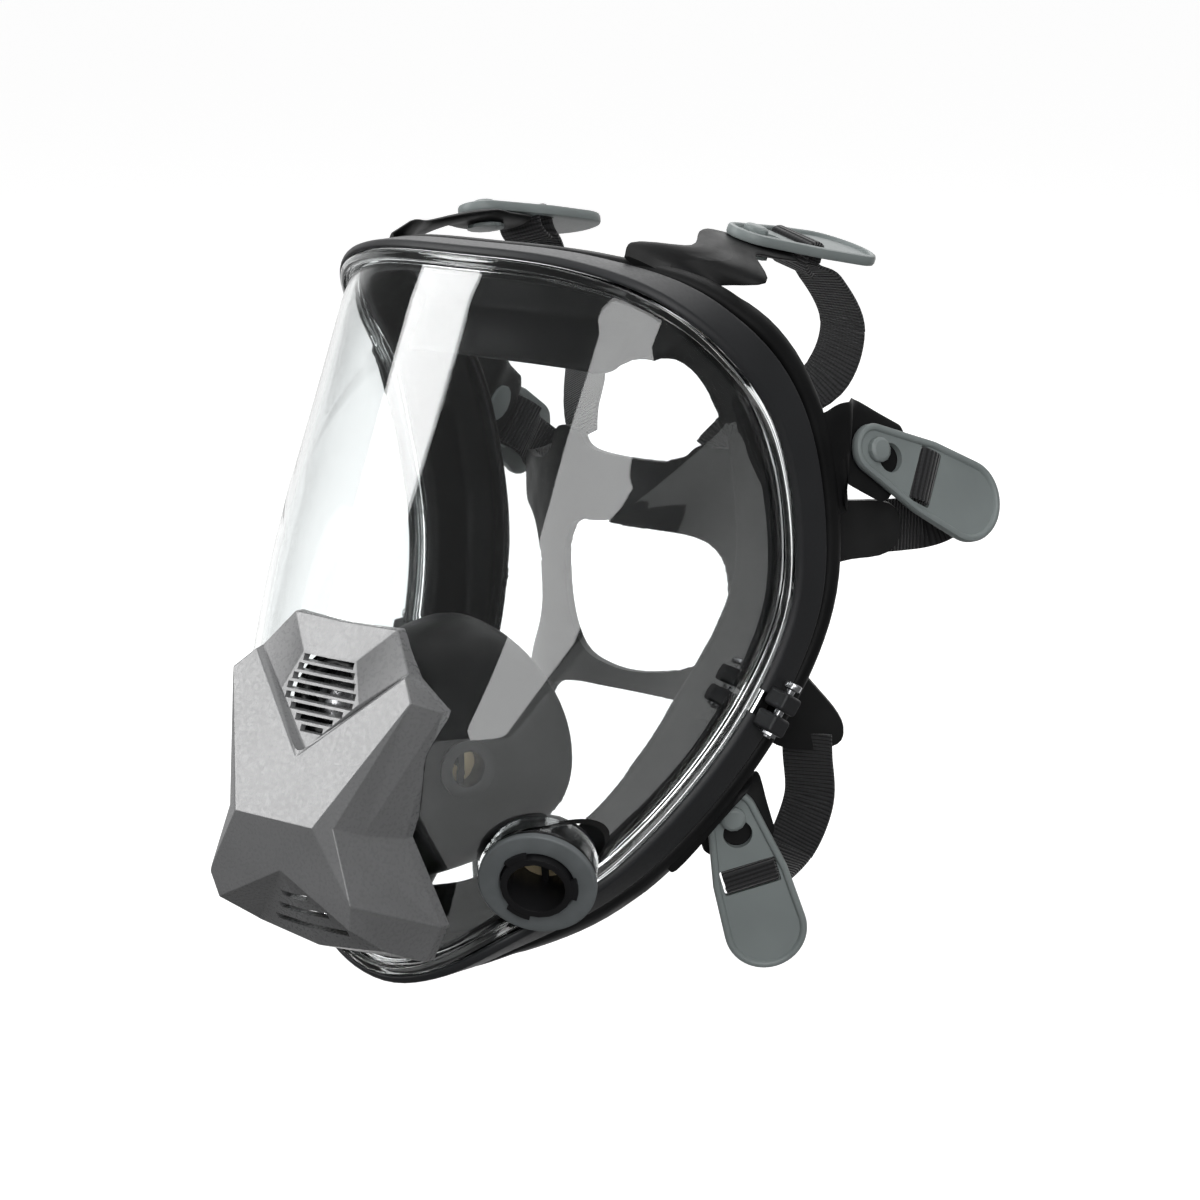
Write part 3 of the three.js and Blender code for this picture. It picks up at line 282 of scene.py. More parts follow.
def webbing():
    """Ribbed polyester tape: ribs across it, with a fine twill running over them."""
    made = Surface("black_webbing", (0.012, 0.012, 0.013), 0.75, specular=0.35)
    made.shader.inputs["Sheen Weight"].default_value = 0.25
    made.shader.inputs["Sheen Roughness"].default_value = 0.5
    along = made.node("ShaderNodeUVMap", uv_map="tape")
    split = made.node("ShaderNodeSeparateXYZ")
    made.link(along.outputs["UV"], split.inputs[0])
    ribs = wave_of(made, split.outputs["Y"], split.outputs["X"], 1 / 0.0013, 0.04)
    threads = wave_of(made, split.outputs["X"], split.outputs["Y"], 1 / 0.0007, 0.0)
    made.raise_by(ribs, 0.9, 0.0004)
    made.raise_by(threads, 0.4, 0.0001)
    # The colour follows the ribs: their valleys are painted darker than their crests, as painted shade
    # in the grooves between the ribs.
    ramp = made.node("ShaderNodeValToRGB")
    ramp.color_ramp.elements[0].color = (0.004, 0.004, 0.0045, 1)
    ramp.color_ramp.elements[1].color = (0.028, 0.028, 0.03, 1)
    made.link(ribs, ramp.inputs["Fac"])
    made.link(ramp.outputs["Color"], made.shader.inputs["Base Color"])
    return made.material


def wave_of(made, main, other, turns, slant):
    """A sine between 0 and 1, turns waves to the metre along main, slanted towards other."""
    lean = made.node("ShaderNodeMath", operation="MULTIPLY_ADD")
    made.link(other, lean.inputs[0])
    lean.inputs[1].default_value = slant
    made.link(main, lean.inputs[2])
    scaled = made.node("ShaderNodeMath", operation="MULTIPLY")
    made.link(lean.outputs[0], scaled.inputs[0])
    scaled.inputs[1].default_value = turns * 2 * math.pi
    sine = made.node("ShaderNodeMath", operation="SINE")
    made.link(scaled.outputs[0], sine.inputs[0])
    half = made.node("ShaderNodeMath", operation="MULTIPLY_ADD")
    made.link(sine.outputs[0], half.inputs[0])
    half.inputs[1].default_value = 0.5
    half.inputs[2].default_value = 0.5
    return half.outputs[0]


def steel():
    made = Surface("steel", (0.62, 0.63, 0.65), 0.25, metallic=1.0)
    made.tint(0.003, 0.85, 1.1)
    return made.gloss(0.002, 0.18, 0.38).grain(0.0004, 0.2, 0.00003).material


FINISHES = {
    "clear_polycarbonate": clear_polycarbonate(),
    "frame_plastic": moulded_plastic("frame_plastic", (0.026, 0.027, 0.029), 0.45, 0.35),
    "cover_plastic": moulded_plastic("cover_plastic", (0.195, 0.197, 0.201), 0.28, 0.85),
    "buckle_plastic": moulded_plastic("buckle_plastic", (0.25, 0.28, 0.278), 0.42),
    "black_plastic": moulded_plastic("black_plastic", (0.011, 0.011, 0.012), 0.36, 0.3),
    "black_rubber": black_rubber(),
    "grey_rubber": soft_rubber("grey_rubber", (0.16, 0.175, 0.18), 0.5),
    "valve_silicone": soft_rubber("valve_silicone", (0.62, 0.52, 0.33), 0.4),
    "black_webbing": webbing(),
    "steel": steel(),
}


def paint(obj, slot):
    obj.data.materials.clear()
    obj.data.materials.append(FINISHES[slot])


# ---------------------------------------------------------------------------
# Making pieces
# ---------------------------------------------------------------------------


def in_row(point):
    return (point - FACE_CENTRE) * MM


def make_piece(name, points, faces, slot, body="mask"):
    """A smooth-shaded piece from layout points in millimetres, riding on a CAD body."""
    mesh = bpy.data.meshes.new(name)
    mesh.from_pydata([in_row(p) for p in points], [], faces)
    mesh.validate()
    shape = bmesh.new()
    shape.from_mesh(mesh)
    bmesh.ops.recalc_face_normals(shape, faces=shape.faces)
    shape.to_mesh(mesh)
    shape.free()
    obj = add_to_scene(bpy.data.objects.new(name, mesh))
    shade(obj)
    paint(obj, slot)
    if body:
        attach(obj, body)
    return obj


def shade(obj, angle=40):
    obj.data.shade_smooth()
    obj.data.set_sharp_from_angle(angle=math.radians(angle))


def soften(obj, width, segments=2, angle=35, harden=True):
    """Rounds an object's edges with a bevel."""
    bevel = obj.modifiers.new("rounded_edges", "BEVEL")
    bevel.width = width * MM
    bevel.segments = segments
    bevel.limit_method = "ANGLE"
    bevel.angle_limit = math.radians(angle)
    bevel.harden_normals = harden


def applied(obj):
    """Turns the object's modifiers into its mesh."""
    graph = bpy.context.evaluated_depsgraph_get()
    mesh = bpy.data.meshes.new_from_object(obj.evaluated_get(graph))
    obj.modifiers.clear()
    obj.data = mesh


def boolean(obj, tool, operation):
    """Joins or cuts obj with another object, which is used up."""
    step = obj.modifiers.new("boolean", "BOOLEAN")
    step.object = tool
    step.operation = operation
    step.solver = "EXACT"
    applied(obj)
    bpy.data.objects.remove(tool)


def skin(rings, closed=False):
    """Faces between rings of equal size, with a face over each end unless the rings close."""
    size = len(rings[0])
    faces = []
    count = len(rings) if closed else len(rings) - 1
    for i in range(count):
        a, b = i * size, (i + 1) % len(rings) * size
        for j in range(size):
            k = (j + 1) % size
            faces.append((a + j, b + j, b + k, a + k))
    if not closed:
        faces.append(tuple(range(size)))
        faces.append(tuple(range((len(rings) - 1) * size, len(rings) * size)))
    return faces


def loft(name, rings, slot, body="mask", closed=False):
    points = [p for ring in rings for p in ring]
    return make_piece(name, points, skin(rings, closed), slot, body)


def rounded(outline, radius, steps=3):
    """A closed outline with each corner turned into a curve of about this radius."""
    made = []
    for i, corner in enumerate(outline):
        before, after = Vector(outline[i - 1]), Vector(outline[(i + 1) % len(outline)])
        corner = Vector(corner)
        back = min(radius, (before - corner).length * 0.45)
        ahead = min(radius, (after - corner).length * 0.45)
        start = corner + (before - corner).normalized() * back
        end = corner + (after - corner).normalized() * ahead
        for s in range(steps + 1):
            t = s / steps
            made.append(start * (1 - t) ** 2 + corner * 2 * t * (1 - t) + end * t * t)
    return made


def catmull_rom(points, samples, closed=False):
    """A centripetal curve through points, with this many samples to each stretch."""
    points = [Vector(p) for p in points]
    last = len(points)
    made = []
    for i in range(last if closed else last - 1):
        p1, p2 = points[i], points[(i + 1) % last]
        p0 = points[i - 1] if closed or i > 0 else p1 * 2 - p2
        p3 = points[(i + 2) % last] if closed or i + 2 < last else p2 * 2 - p1
        g0, g1, g2 = [max((b - a).length, 1e-4) ** 0.5 for a, b in ((p0, p1), (p1, p2), (p2, p3))]
        t1 = ((p1 - p0) / g0 - (p2 - p0) / (g0 + g1) + (p2 - p1) / g1) * g1
        t2 = ((p2 - p1) / g1 - (p3 - p1) / (g1 + g2) + (p3 - p2) / g2) * g1
        for s in range(samples):
            t = s / samples
            c2, c3 = -3 * p1 + 3 * p2 - 2 * t1 - t2, 2 * p1 - 2 * p2 + t1 + t2
            made.append(p1 + t1 * t + c2 * t * t + c3 * t ** 3)
    if not closed:
        made.append(points[-1])
    return made


def place_at(origin, axis):
    """The matrix of a place whose z axis is axis and whose x axis points as far up as it can."""
    z = axis.normalized()
    x = (UP - z * UP.dot(z)).normalized()
    y = z.cross(x)
    made = Matrix((x, y, z)).transposed().to_4x4()
    made.translation = origin
    return made


def mirrored(v, side):
    return Vector((v[0] * side, v[1], v[2]))


def turned(name, profile, place, slot, segments=96):
    """A ring turned about a place's axis from a closed outline of (radius, height) pairs."""
    rings = []
    for i in range(segments):
        angle = 2 * math.pi * i / segments
        c, s = math.cos(angle), math.sin(angle)
        rings.append([place @ Vector((r * c, r * s, h)) for r, h in profile])
    return loft(name, rings, slot, closed=True)


def prism(outline, low, high, place):
    """A plain prism to cut with, from a closed outline of (x, y) pairs."""
    rings = [[place @ Vector((x, y, h)) for x, y in outline] for h in (low, high)]
    return loft("cutter", rings, "steel", body=None)


def plug(radius, low, high, place, segments=64):
    """A plain cylinder to cut with."""
    circle = [
        (radius * math.cos(2 * math.pi * i / segments), radius * math.sin(2 * math.pi * i / segments))
        for i in range(segments)
    ]
    return prism(circle, low, high, place)


# ---------------------------------------------------------------------------
# The rim that the visor, frame and seal follow
# ---------------------------------------------------------------------------

RIM_HALF = [
    (0, 0, 0), (42, 4.7, -2), (66, 16.5, -10), (79, 33, -25), (84, 54, -50), (84.4, 65, -88),
    (82, 64.5, -115), (73, 47, -152), (57, 10, -190), (39, -27, -209.5), (21, -36.5, -220.5),
    (0, -38.5, -225.5),
]
STATIONS = 192
RIM_CENTRE_Z = -118


class Station:
    """A place on the rim: out points away from the visor and back towards the head."""

    def __init__(self, share, at, along):
        self.share = share
        self.at = at
        self.along = along.normalized()
        self.back = (BACK - self.along * BACK.dot(self.along)).normalized()
        self.out = self.along.cross(self.back).normalized()

    def point(self, n, k):
        return self.at + self.out * n + self.back * k


def rim_stations(count):
    points = RIM_HALF + [(-x, y, z) for x, y, z in reversed(RIM_HALF[1:-1])]
    fine = catmull_rom(points, 60, closed=True)
    lengths = [0.0]
    for a, b in zip(fine, fine[1:] + fine[:1]):
        lengths.append(lengths[-1] + (b - a).length)
    stations = []
    place = 0
    for i in range(count):
        wanted = lengths[-1] * i / count
        while lengths[place + 1] < wanted:
            place += 1
        a, b = fine[place], fine[(place + 1) % len(fine)]
        share = (wanted - lengths[place]) / (lengths[place + 1] - lengths[place])
        before, after = fine[place - 1], fine[(place + 2) % len(fine)]
        stations.append(Station(i / count, a.lerp(b, share), after - before))
    return stations


RIM = rim_stations(STATIONS)


def rim_near(point):
    return min(RIM, key=lambda s: (s.at - Vector(point)).length)


# ---------------------------------------------------------------------------
# Visor
# ---------------------------------------------------------------------------

WALL = 2.4
LEAN = 0.469
HALF_WIDTH = 83
BULGE = 84
SIDE_RUN = 100
CREASE_RADIUS = 5
# Below this height the side walls draw in: by how much, over how long a drop, and how sharply.
SIDE_TAPER = {"from": -88, "over": 80, "by": 17, "power": 1.6}
# The superellipse's power at the top, what it loses going down, and over how long a drop.
SECTION = {"top": 2.6, "loss": 0.5, "over": 234}
# The chin's face: its depth on the centre line at one height, its slope and how it curves away.
CHIN = {"y": -54.4, "z": -189.8, "slope": 0.485, "curve": 0.0747}
VISOR_SHARES = [0.05 + 0.88 * i / 35 for i in range(36)]
LIP = [(-1, -0.2), (-0.4, -1.8), (2.2, -1.6), (2.2, 1.2), (3.4, 1.2), (3.4, 2.8), (-3.4, 2.8)]


def half_width(z):
    drop = max(0, (SIDE_TAPER["from"] - z) / SIDE_TAPER["over"])
    return HALF_WIDTH - SIDE_TAPER["by"] * drop ** SIDE_TAPER["power"]


def power(z):
    return SECTION["top"] - SECTION["loss"] * min(max(-z / SECTION["over"], 0), 1)


def chin_y(x, z):
    return CHIN["y"] + CHIN["curve"] * abs(x) ** 1.5 - CHIN["slope"] * (z - CHIN["z"])


def soft_max(a, b, radius):
    near = max(radius - abs(a - b), 0) / radius
    return max(a, b) + near * near * radius / 4


def visor_surface(turn, z):
    """The visor's outer face: turn is 0 straight ahead and 1 where the side wall starts."""
    angle = min(abs(turn), 1) * math.pi / 2
    share = 2 / power(z)
    x = math.copysign(half_width(z) * math.sin(angle) ** share, turn)
    beyond = max(0, abs(turn) - 1) * SIDE_RUN
    wall = LEAN * z + BULGE * (1 - max(math.cos(angle), 0) ** share) + beyond
    return Vector((x, soft_max(wall, chin_y(x, z), CREASE_RADIUS), z))


def turn_of(point):
    end = LEAN * point.z + BULGE
    if point.y > end:
        return math.copysign(1 + (point.y - end) / SIDE_RUN, point.x)
    ratio = min(abs(point.x) / half_width(point.z), 1)
    return math.copysign(math.asin(ratio ** (power(point.z) / 2)) * 2 / math.pi, point.x)


def visor_y(x, z):
    return visor_surface(turn_of(Vector((x, -999, z))), z).y


def visor_ring(share):
    ring = []
    for station in RIM:
        edge = station.point(*LIP[0])
        turn = turn_of(station.at)
        z = RIM_CENTRE_Z + (edge.z - RIM_CENTRE_Z) * share
        miss = edge - visor_surface(turn, edge.z)
        ring.append(visor_surface(turn * share, z) + miss * share ** 5)
    return ring


def ring_normals(rings):
    normals = []
    size = len(RIM)
    for i, ring in enumerate(rings):
        row = []
        for j, point in enumerate(ring):
            across = ring[(j + 1) % size] - ring[j - 1]
            inner = rings[i - 1][j] if i else ring[(j + size // 2) % size]
            outer = rings[i + 1][j] if i + 1 < len(rings) else point
            normal = across.cross(outer - inner).normalized()
            row.append(-normal if normal.y > 0.35 else normal)
        normals.append(row)
    return normals


PORT_CENTRE = Vector((58, -27.8, -189.8))
PORT_AXIS = Vector((0.492, -0.78, -0.378)).normalized()
PORT_TUBE = 15.2
GASKET = {"bore": 12, "radius": 19, "deep": 2.6}
COLLAR_FRONT = -4.8
COLLAR_BACK = -13.2
COLLAR_WALL = 2.5
GAP = 0.3
CUT_REACH = 30
VALVE_BORE = 15.8
SPEECH_BORE = 15
SPEECH_AXIS = Vector((0, -1, LEAN)).normalized()
VALVE_AXIS = Vector((0, -1, -CHIN["slope"])).normalized()
SPEECH = place_at(Vector((0, visor_y(0, -131), -131)), SPEECH_AXIS)
VALVE = place_at(Vector((0, chin_y(0, -190), -190)), VALVE_AXIS)


def port_place(side):
    return place_at(mirrored(PORT_CENTRE, side), mirrored(PORT_AXIS, side))


def make_visor():
    outer = [visor_ring(share) for share in VISOR_SHARES]
    normals = ring_normals(outer)
    inward = WALL if normals[0][0].y > 0 else -WALL
    inner = [
        [p + normals[i][j] * inward for j, p in enumerate(ring)] for i, ring in enumerate(outer)
    ]
    lip = [[s.point(*pair) for s in RIM] for pair in rounded(LIP, 0.7)]
    rings = outer + lip + inner[::-1]
    visor = loft("clear_visor", rings, "clear_polycarbonate")
    # The cutters reach 0.1 mm into the collar's ends, because faces in one plane cut badly.
    front, back = COLLAR_FRONT - 0.1, COLLAR_BACK + 0.1
    outside = PORT_TUBE + COLLAR_WALL
    for side in SIDES.values():
        place = port_place(side)
        boolean(visor, plug(outside, COLLAR_BACK, COLLAR_FRONT, place), "UNION")
        boolean(visor, plug(PORT_TUBE + GAP, -CUT_REACH, CUT_REACH, place), "DIFFERENCE")
        boolean(visor, plug(GASKET["radius"] + 0.5, front, CUT_REACH, place), "DIFFERENCE")
        boolean(visor, plug(outside + GAP, -CUT_REACH, back, place), "DIFFERENCE")
    boolean(visor, plug(VALVE_BORE, -CUT_REACH, CUT_REACH, VALVE), "DIFFERENCE")
    boolean(visor, plug(SPEECH_BORE, -12, 12, SPEECH), "DIFFERENCE")
    shade(visor, 35)
    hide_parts("visor")


# ---------------------------------------------------------------------------
# Frame
# ---------------------------------------------------------------------------

CHANNEL = [
    (2.6, -0.4), (3.6, -1), (5.5, 0.6), (5.5, 12.6), (4.6, 13.6), (-2, 13.6), (-2, 12.2),
    (3.8, 12.2), (3.8, 0.8), (2.6, 0.8),
]
CLAMP_AT = (78.5, 58, -141.5)
CLAMP_HALF_GAP = 0.9
# Stands for the rim's length, which is nearer 772 mm, so the gap comes out slightly different.
RIM_LENGTH = 727
LUG = {"inner": 4.8, "outer": 12.8, "front": 1.5, "rear": 11.5, "long": 7}


def clamp_frame(side):
    """The clamp's own frame on one side: x outwards, y back and z along the rim."""
    at = rim_near(CLAMP_AT)
    x, y = mirrored(at.out, side), mirrored(at.back, side)
    made = Matrix((x, y, x.cross(y))).transposed().to_4x4()
    made.translation = mirrored(at.at, side)
    return made


def box_points(low, high):
    return [
        Vector((x, y, z)) for z in (low[2], high[2])
        for x, y in ((low[0], low[1]), (high[0], low[1]), (high[0], high[1]), (low[0], high[1]))
    ]


def frame_half(name, level, replaced):
    clamp = rim_near(CLAMP_AT)
    gap = CLAMP_HALF_GAP / RIM_LENGTH
    if level > 0:
        chosen = [s for s in RIM if s.share > 1 - clamp.share + gap]
        chosen += [s for s in RIM if s.share < clamp.share - gap]
    else:
        chosen = [s for s in RIM if clamp.share + gap < s.share < 1 - clamp.share - gap]
    profile = rounded(CHANNEL, 0.9)
    piece = loft(name, [[s.point(n, k) for n, k in profile] for s in chosen], "frame_plastic")
    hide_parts(replaced)
    for label, side in SIDES.items():
        near, far = sorted((CLAMP_HALF_GAP * level * side, LUG["long"] * level * side))
        corners = box_points((LUG["inner"], LUG["front"], near), (LUG["outer"], LUG["rear"], far))
        place = clamp_frame(side)
        lug = loft(
            f"{name}_lug_{label}", [[place @ p for p in corners[:4]], [place @ p for p in corners[4:]]],
            "frame_plastic",
        )
        soften(lug, 1.2, 4)


# ---------------------------------------------------------------------------
# Face seal and its ears
# ---------------------------------------------------------------------------


def chin_share(z):
    t = min(max((-z - 140) / 75, 0), 1)
    return t * t * (3 - 2 * t)


def seal_section(z):
    """Bead in the channel, outer skirt and inner flap, as (out, back) pairs."""
    chin = chin_share(z)
    deep, reach, edge = 27 + 7 * chin, 33 - 9 * chin, 13 + 8 * chin
    return [
        (2.8, 3.9), (2.8, 11), (-2.6, 11), (-2.6, 14.8), (5.2, 14.8), (5.6, 19.5),
        (3.5, deep - 4), (-4, deep), (-reach * 0.5, deep - 1.5), (-reach, edge),
        (-reach + 1.2, edge - 2), (-reach * 0.5, deep - 4.5), (-6, deep - 6.5), (-5.5, 3.9),
    ]


BUCKLE_SITES = {
    "forehead": ((59, 76.6, 4.7), (2, 58.4, -10.7), (0.25, 0.16, 0.95)),
    "temple": ((86, 107, -65.4), (16, 46, -26.6), (0.92, -0.18, 0.25)),
    "jaw": ((59.2, 68, -186.2), (5, 10.9, -37.9), (0.72, -0.69, -0.1)),
}
EAR_ROOTS = {
    "forehead": ((67, 18, -10), (69, 52, 0), 30, 25),
    "temple": ((84.4, 62, -72), (90, 88, -62), 36, 28),
    "jaw": ((66, 31, -170), (63, 55, -179), 34, 25),
}
EAR_THICK = 3


def buckle_frame(site, side):
    """A buckle's place: x along its length, z out of its face, the stud at its origin."""
    stud, along, out = BUCKLE_SITES[site]
    x = mirrored(along, side).normalized()
    z = mirrored(out, side)
    z = (z - x * z.dot(x)).normalized()
    made = Matrix((x, z.cross(x), z)).transposed().to_4x4()
    made.translation = mirrored(stud, side)
    return made


def column(matrix, i):
    return matrix.col[i].to_3d().normalized()


def make_ear(site, label):
    """One rubber ear, from inside the seal's skirt over a bend to its end under the buckle."""
    near, bend, root_width, width = EAR_ROOTS[site]
    side = SIDES[label]
    root = rim_near(near)
    place = buckle_frame(site, side)
    lid, across = column(place, 2), column(place, 1)
    root_across = mirrored(root.along, side)
    if root_across.dot(across) < 0:
        root_across = -root_across
    root_out = mirrored(root.out, side)
    middle = -0.3 - EAR_THICK / 2

    def local(u):
        return place @ Vector((u, 0, middle))

    stops = [
        (mirrored(root.point(2.5, 16.5), side), root_across, root_out, root_width),
        (mirrored(root.point(4, 24), side), root_across, root_out, root_width),
        (mirrored(Vector(bend), side), root_across + across, root_out + lid, width + 3),
        (local(-11), across, lid, width), (local(0), across, lid, width),
        (local(9), across, lid, width), (local(12.6), across, lid, width * 0.82),
        (local(14), across, lid, width * 0.5),
    ]
    samples = 5
    paths = [catmull_rom([s[i] for s in stops], samples) for i in range(3)]
    widths = catmull_rom([Vector((s[3], 0, 0)) for s in stops], samples)
    outline = rounded([(-1, -1), (1, -1), (1, 1), (-1, 1)], 0.9, 4)
    rings = []
    for at, sideways, face, wide in zip(*paths, widths):
        half = wide.x / 2
        edge = EAR_THICK / 2
        w = sideways.normalized()
        h = (face - w * face.dot(w)).normalized()
        ring = []
        for a, b in outline:
            flat = max(abs(a) - 0.1, 0) / 0.9
            reach = half - edge + edge * math.sqrt(max(1 - min(abs(b), 1) ** 2, 0))
            ring.append(at + w * (math.copysign(reach * flat, a)) + h * (b * edge))
        rings.append(ring)
    return loft(f"{site}_ear_{label}", rings, "black_rubber")


def make_face_seal():
    profiles = [rounded(seal_section(s.at.z), 2.2) for s in RIM]
    rings = [[s.point(n, k) for n, k in profile] for s, profile in zip(RIM, profiles)]
    seal = loft("rubber_face_seal", rings, "black_rubber", closed=True)
    shade(seal, 60)
    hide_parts("face_seal")
    for site in BUCKLE_SITES:
        for label in SIDES:
            make_ear(site, label)


# ---------------------------------------------------------------------------
# Buckles and webbing
# ---------------------------------------------------------------------------

BUCKLE_THICK = 3.6
BUCKLE_CUT = (-2, 9)
# The outline's three circles, from tail to nose: centre and radius.
POD_CIRCLES = [(-1, 8.5), (24, 13), (42, 14)]
RIM_WIDTH = 2.2
RECESS_FLOOR = 2.4
KEYHOLE = {"neck": 3.2, "wide": 4.9, "shift": 6.2}
SLOT = {"start": 17.5, "length": 9, "across": 19.5}


def pod_outline(shrink):
    """The buckle's egg-shaped outline, drawn in by shrink."""
    (tail, tail_radius), (middle, middle_radius), (nose, nose_radius) = POD_CIRCLES
    rear = math.acos((tail_radius - middle_radius) / (middle - tail))
    fore = math.acos((middle_radius - nose_radius) / (nose - middle))
    arcs = [
        (nose, nose_radius, -fore, fore, 32), (middle, middle_radius, fore, rear, 4),
        (tail, tail_radius, rear, 2 * math.pi - rear, 24),
        (middle, middle_radius, -rear, -fore, 4),
    ]
    points = []
    for centre, radius, start, end, steps in arcs:
        for i in range(steps + 1):
            angle = start + (end - start) * i / steps
            reach = radius - shrink
            points.append((centre + reach * math.cos(angle), reach * math.sin(angle)))
    return points


def make_buckle(site, label):
    place = buckle_frame(site, SIDES[label])
    thick = BUCKLE_THICK
    body = f"{site}_buckle_{label}"
    levels = [(1.0, 0), (0.3, 0.25), (0, 0.9), (0, thick - 1.1), (0.35, thick - 0.3), (1.0, thick)]
    levels += [(RIM_WIDTH - 0.5, thick), (RIM_WIDTH, thick - 0.4), (RIM_WIDTH + 0.3, RECESS_FLOOR)]
    rings = [
        [place @ Vector((x, y, h)) for x, y in pod_outline(shrink)] for shrink, h in levels
    ]
    buckle = loft(f"{site}_buckle_plate_{label}", rings, "buckle_plastic", body)
    shift = place @ Matrix.Translation((KEYHOLE["shift"], 0, 0))
    boolean(buckle, plug(KEYHOLE["wide"], *BUCKLE_CUT, shift), "DIFFERENCE")
    boolean(buckle, plug(KEYHOLE["neck"], *BUCKLE_CUT, place), "DIFFERENCE")
    half = SLOT["across"] / 2
    ends = (SLOT["start"], SLOT["start"] + SLOT["length"])
    window = rounded([(ends[0], -half), (ends[1], -half), (ends[1], half), (ends[0], half)], 0.8)
    boolean(buckle, prism(window, *BUCKLE_CUT, place), "DIFFERENCE")
    shade(buckle)
    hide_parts(body)


STRAP_ROUTES = {
    "forehead": [
        ((61, 110, -10), (1, 0, 0)), ((60, 124, -28), (1, 0, 0)), ((54, 122, -46), (1, 0.2, 0)),
        ((35, 100, -63.5), (1, 0.4, 0)), ((31, 94, -72), (1, 0.3, 0)),
    ],
    "temple": [
        ((92, 137, -85), (0, 0.1, 1)), ((90, 142, -90), (0, 0, 1)), ((84.5, 140, -93.5), (0, 0, 1)),
        ((81, 132, -94), (0, 0, 1)), ((78, 122.6, -93.7), (0, 0, 1)),
    ],
    "jaw": [
        ((58, 86, -212), (1, 0.3, 0)), ((57, 102, -205), (1, 0.3, 0)),
        ((60.5, 108, -188), (1, 0.3, 0)), ((60.4, 107, -172.6), (1, 0.3, 0)),
        ((60.4, 106.5, -165), (1, 0.3, 0)),
    ],
}
TAPE = {"width": 18, "thick": 1.3}
TAPE_FACE = 0.4


def tape(name, stops):
    """A flat tape along (point, width direction) stops, with its length and width as UVs."""
    rings, runs = [], []
    run = 0.0
    outline = rounded([(-1, -1), (1, -1), (1, 1), (-1, 1)], 0.5, 3)
    for i, (at, across) in enumerate(stops):
        ahead = stops[min(i + 1, len(stops) - 1)][0] - stops[max(i - 1, 0)][0]
        along = ahead.normalized()
        wide = (across - along * across.dot(along)).normalized()
        face = along.cross(wide)
        ring = []
        for a, b in outline:
            reach = TAPE["width"] / 2 - TAPE["thick"] * (1 - abs(a))
            flat = math.copysign(reach, a) if abs(a) > TAPE_FACE else a
            ring.append(at + wide * flat + face * (b * TAPE["thick"] / 2))
        if i:
            run += (at - stops[i - 1][0]).length
        rings.append(ring)
        runs.append(run)
    piece = loft(name, rings, "black_webbing", body=None)
    size = len(outline)
    layer = piece.data.uv_layers.new(name="tape")
    for face in piece.data.polygons:
        for loop in face.loop_indices:
            vertex = piece.data.loops[loop].vertex_index
            ring, j = divmod(vertex, size)
            layer.data[loop].uv = (outline[j][0] * TAPE["width"] / 2 * MM, runs[ring] * MM)
    return piece


def make_straps(site, label):
    """The webbing from the buckle's slot to the cradle, in a stretch for each end."""
    side = SIDES[label]
    place = buckle_frame(site, side)
    across = column(place, 1)
    thick = BUCKLE_THICK
    middle = SLOT["start"] + SLOT["length"] / 2
    first_across = mirrored(STRAP_ROUTES[site][0][1], side)
    if across.dot(first_across) < 0:
        across = -across
    loop = [
        (middle + 3, -7), (middle, -5.6), (middle - 2.6, -3), (middle - 3.2, 0.5),
        (middle - 2.8, thick - 0.4), (middle, thick + 0.5), (middle + 2.8, thick - 0.4),
        (middle + 3.2, 0.5), (middle + 4.4, -3.5),
    ]
    stops = [(place @ Vector((u, 0, h)), across) for u, h in loop]
    stops += [(mirrored(at, side), mirrored(wide, side)) for at, wide in STRAP_ROUTES[site]]
    samples = 8
    path = catmull_rom([s[0] for s in stops], samples)
    turning = catmull_rom([s[1] for s in stops], samples)
    tape_stops = list(zip(path, turning))
    split = (len(loop) + 1) * samples
    upper = tape(f"{site}_tape_{label}", tape_stops[: split + 1])
    lower = tape(f"{site}_tape_end_{label}", tape_stops[split:])
    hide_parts(f"{site}_strap_{label}")
    near, far = in_row(path[(len(loop) - 1) * samples]), in_row(path[split])
    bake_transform(upper)
    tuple(near)
    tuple(far)
    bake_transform(lower)
    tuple(far)


# ---------------------------------------------------------------------------
# Head cradle
# ---------------------------------------------------------------------------

CRADLE_HALF = [
    (0, -75), (22, -74), (26, -68), (43, -68), (48, -81), (66, -85), (83, -84), (83, -103),
    (66, -105), (57, -116), (54, -138), (70, -160), (69, -170), (51, -171), (43, -161), (26, -157),
    (0, -156),
]
CRADLE_OPENING = [(0, -98), (28, -99), (36, -108), (34, -130), (24, -146), (0, -150)]
CRADLE_THICK = 2.6
CRADLE_BACK = 85
CRADLE_WRAP = 40
CRADLE_REACH = 84
CRADLE_STEP = 4


def both_halves(half):
    return half + [(-x, z) for x, z in reversed(half[1:-1])]


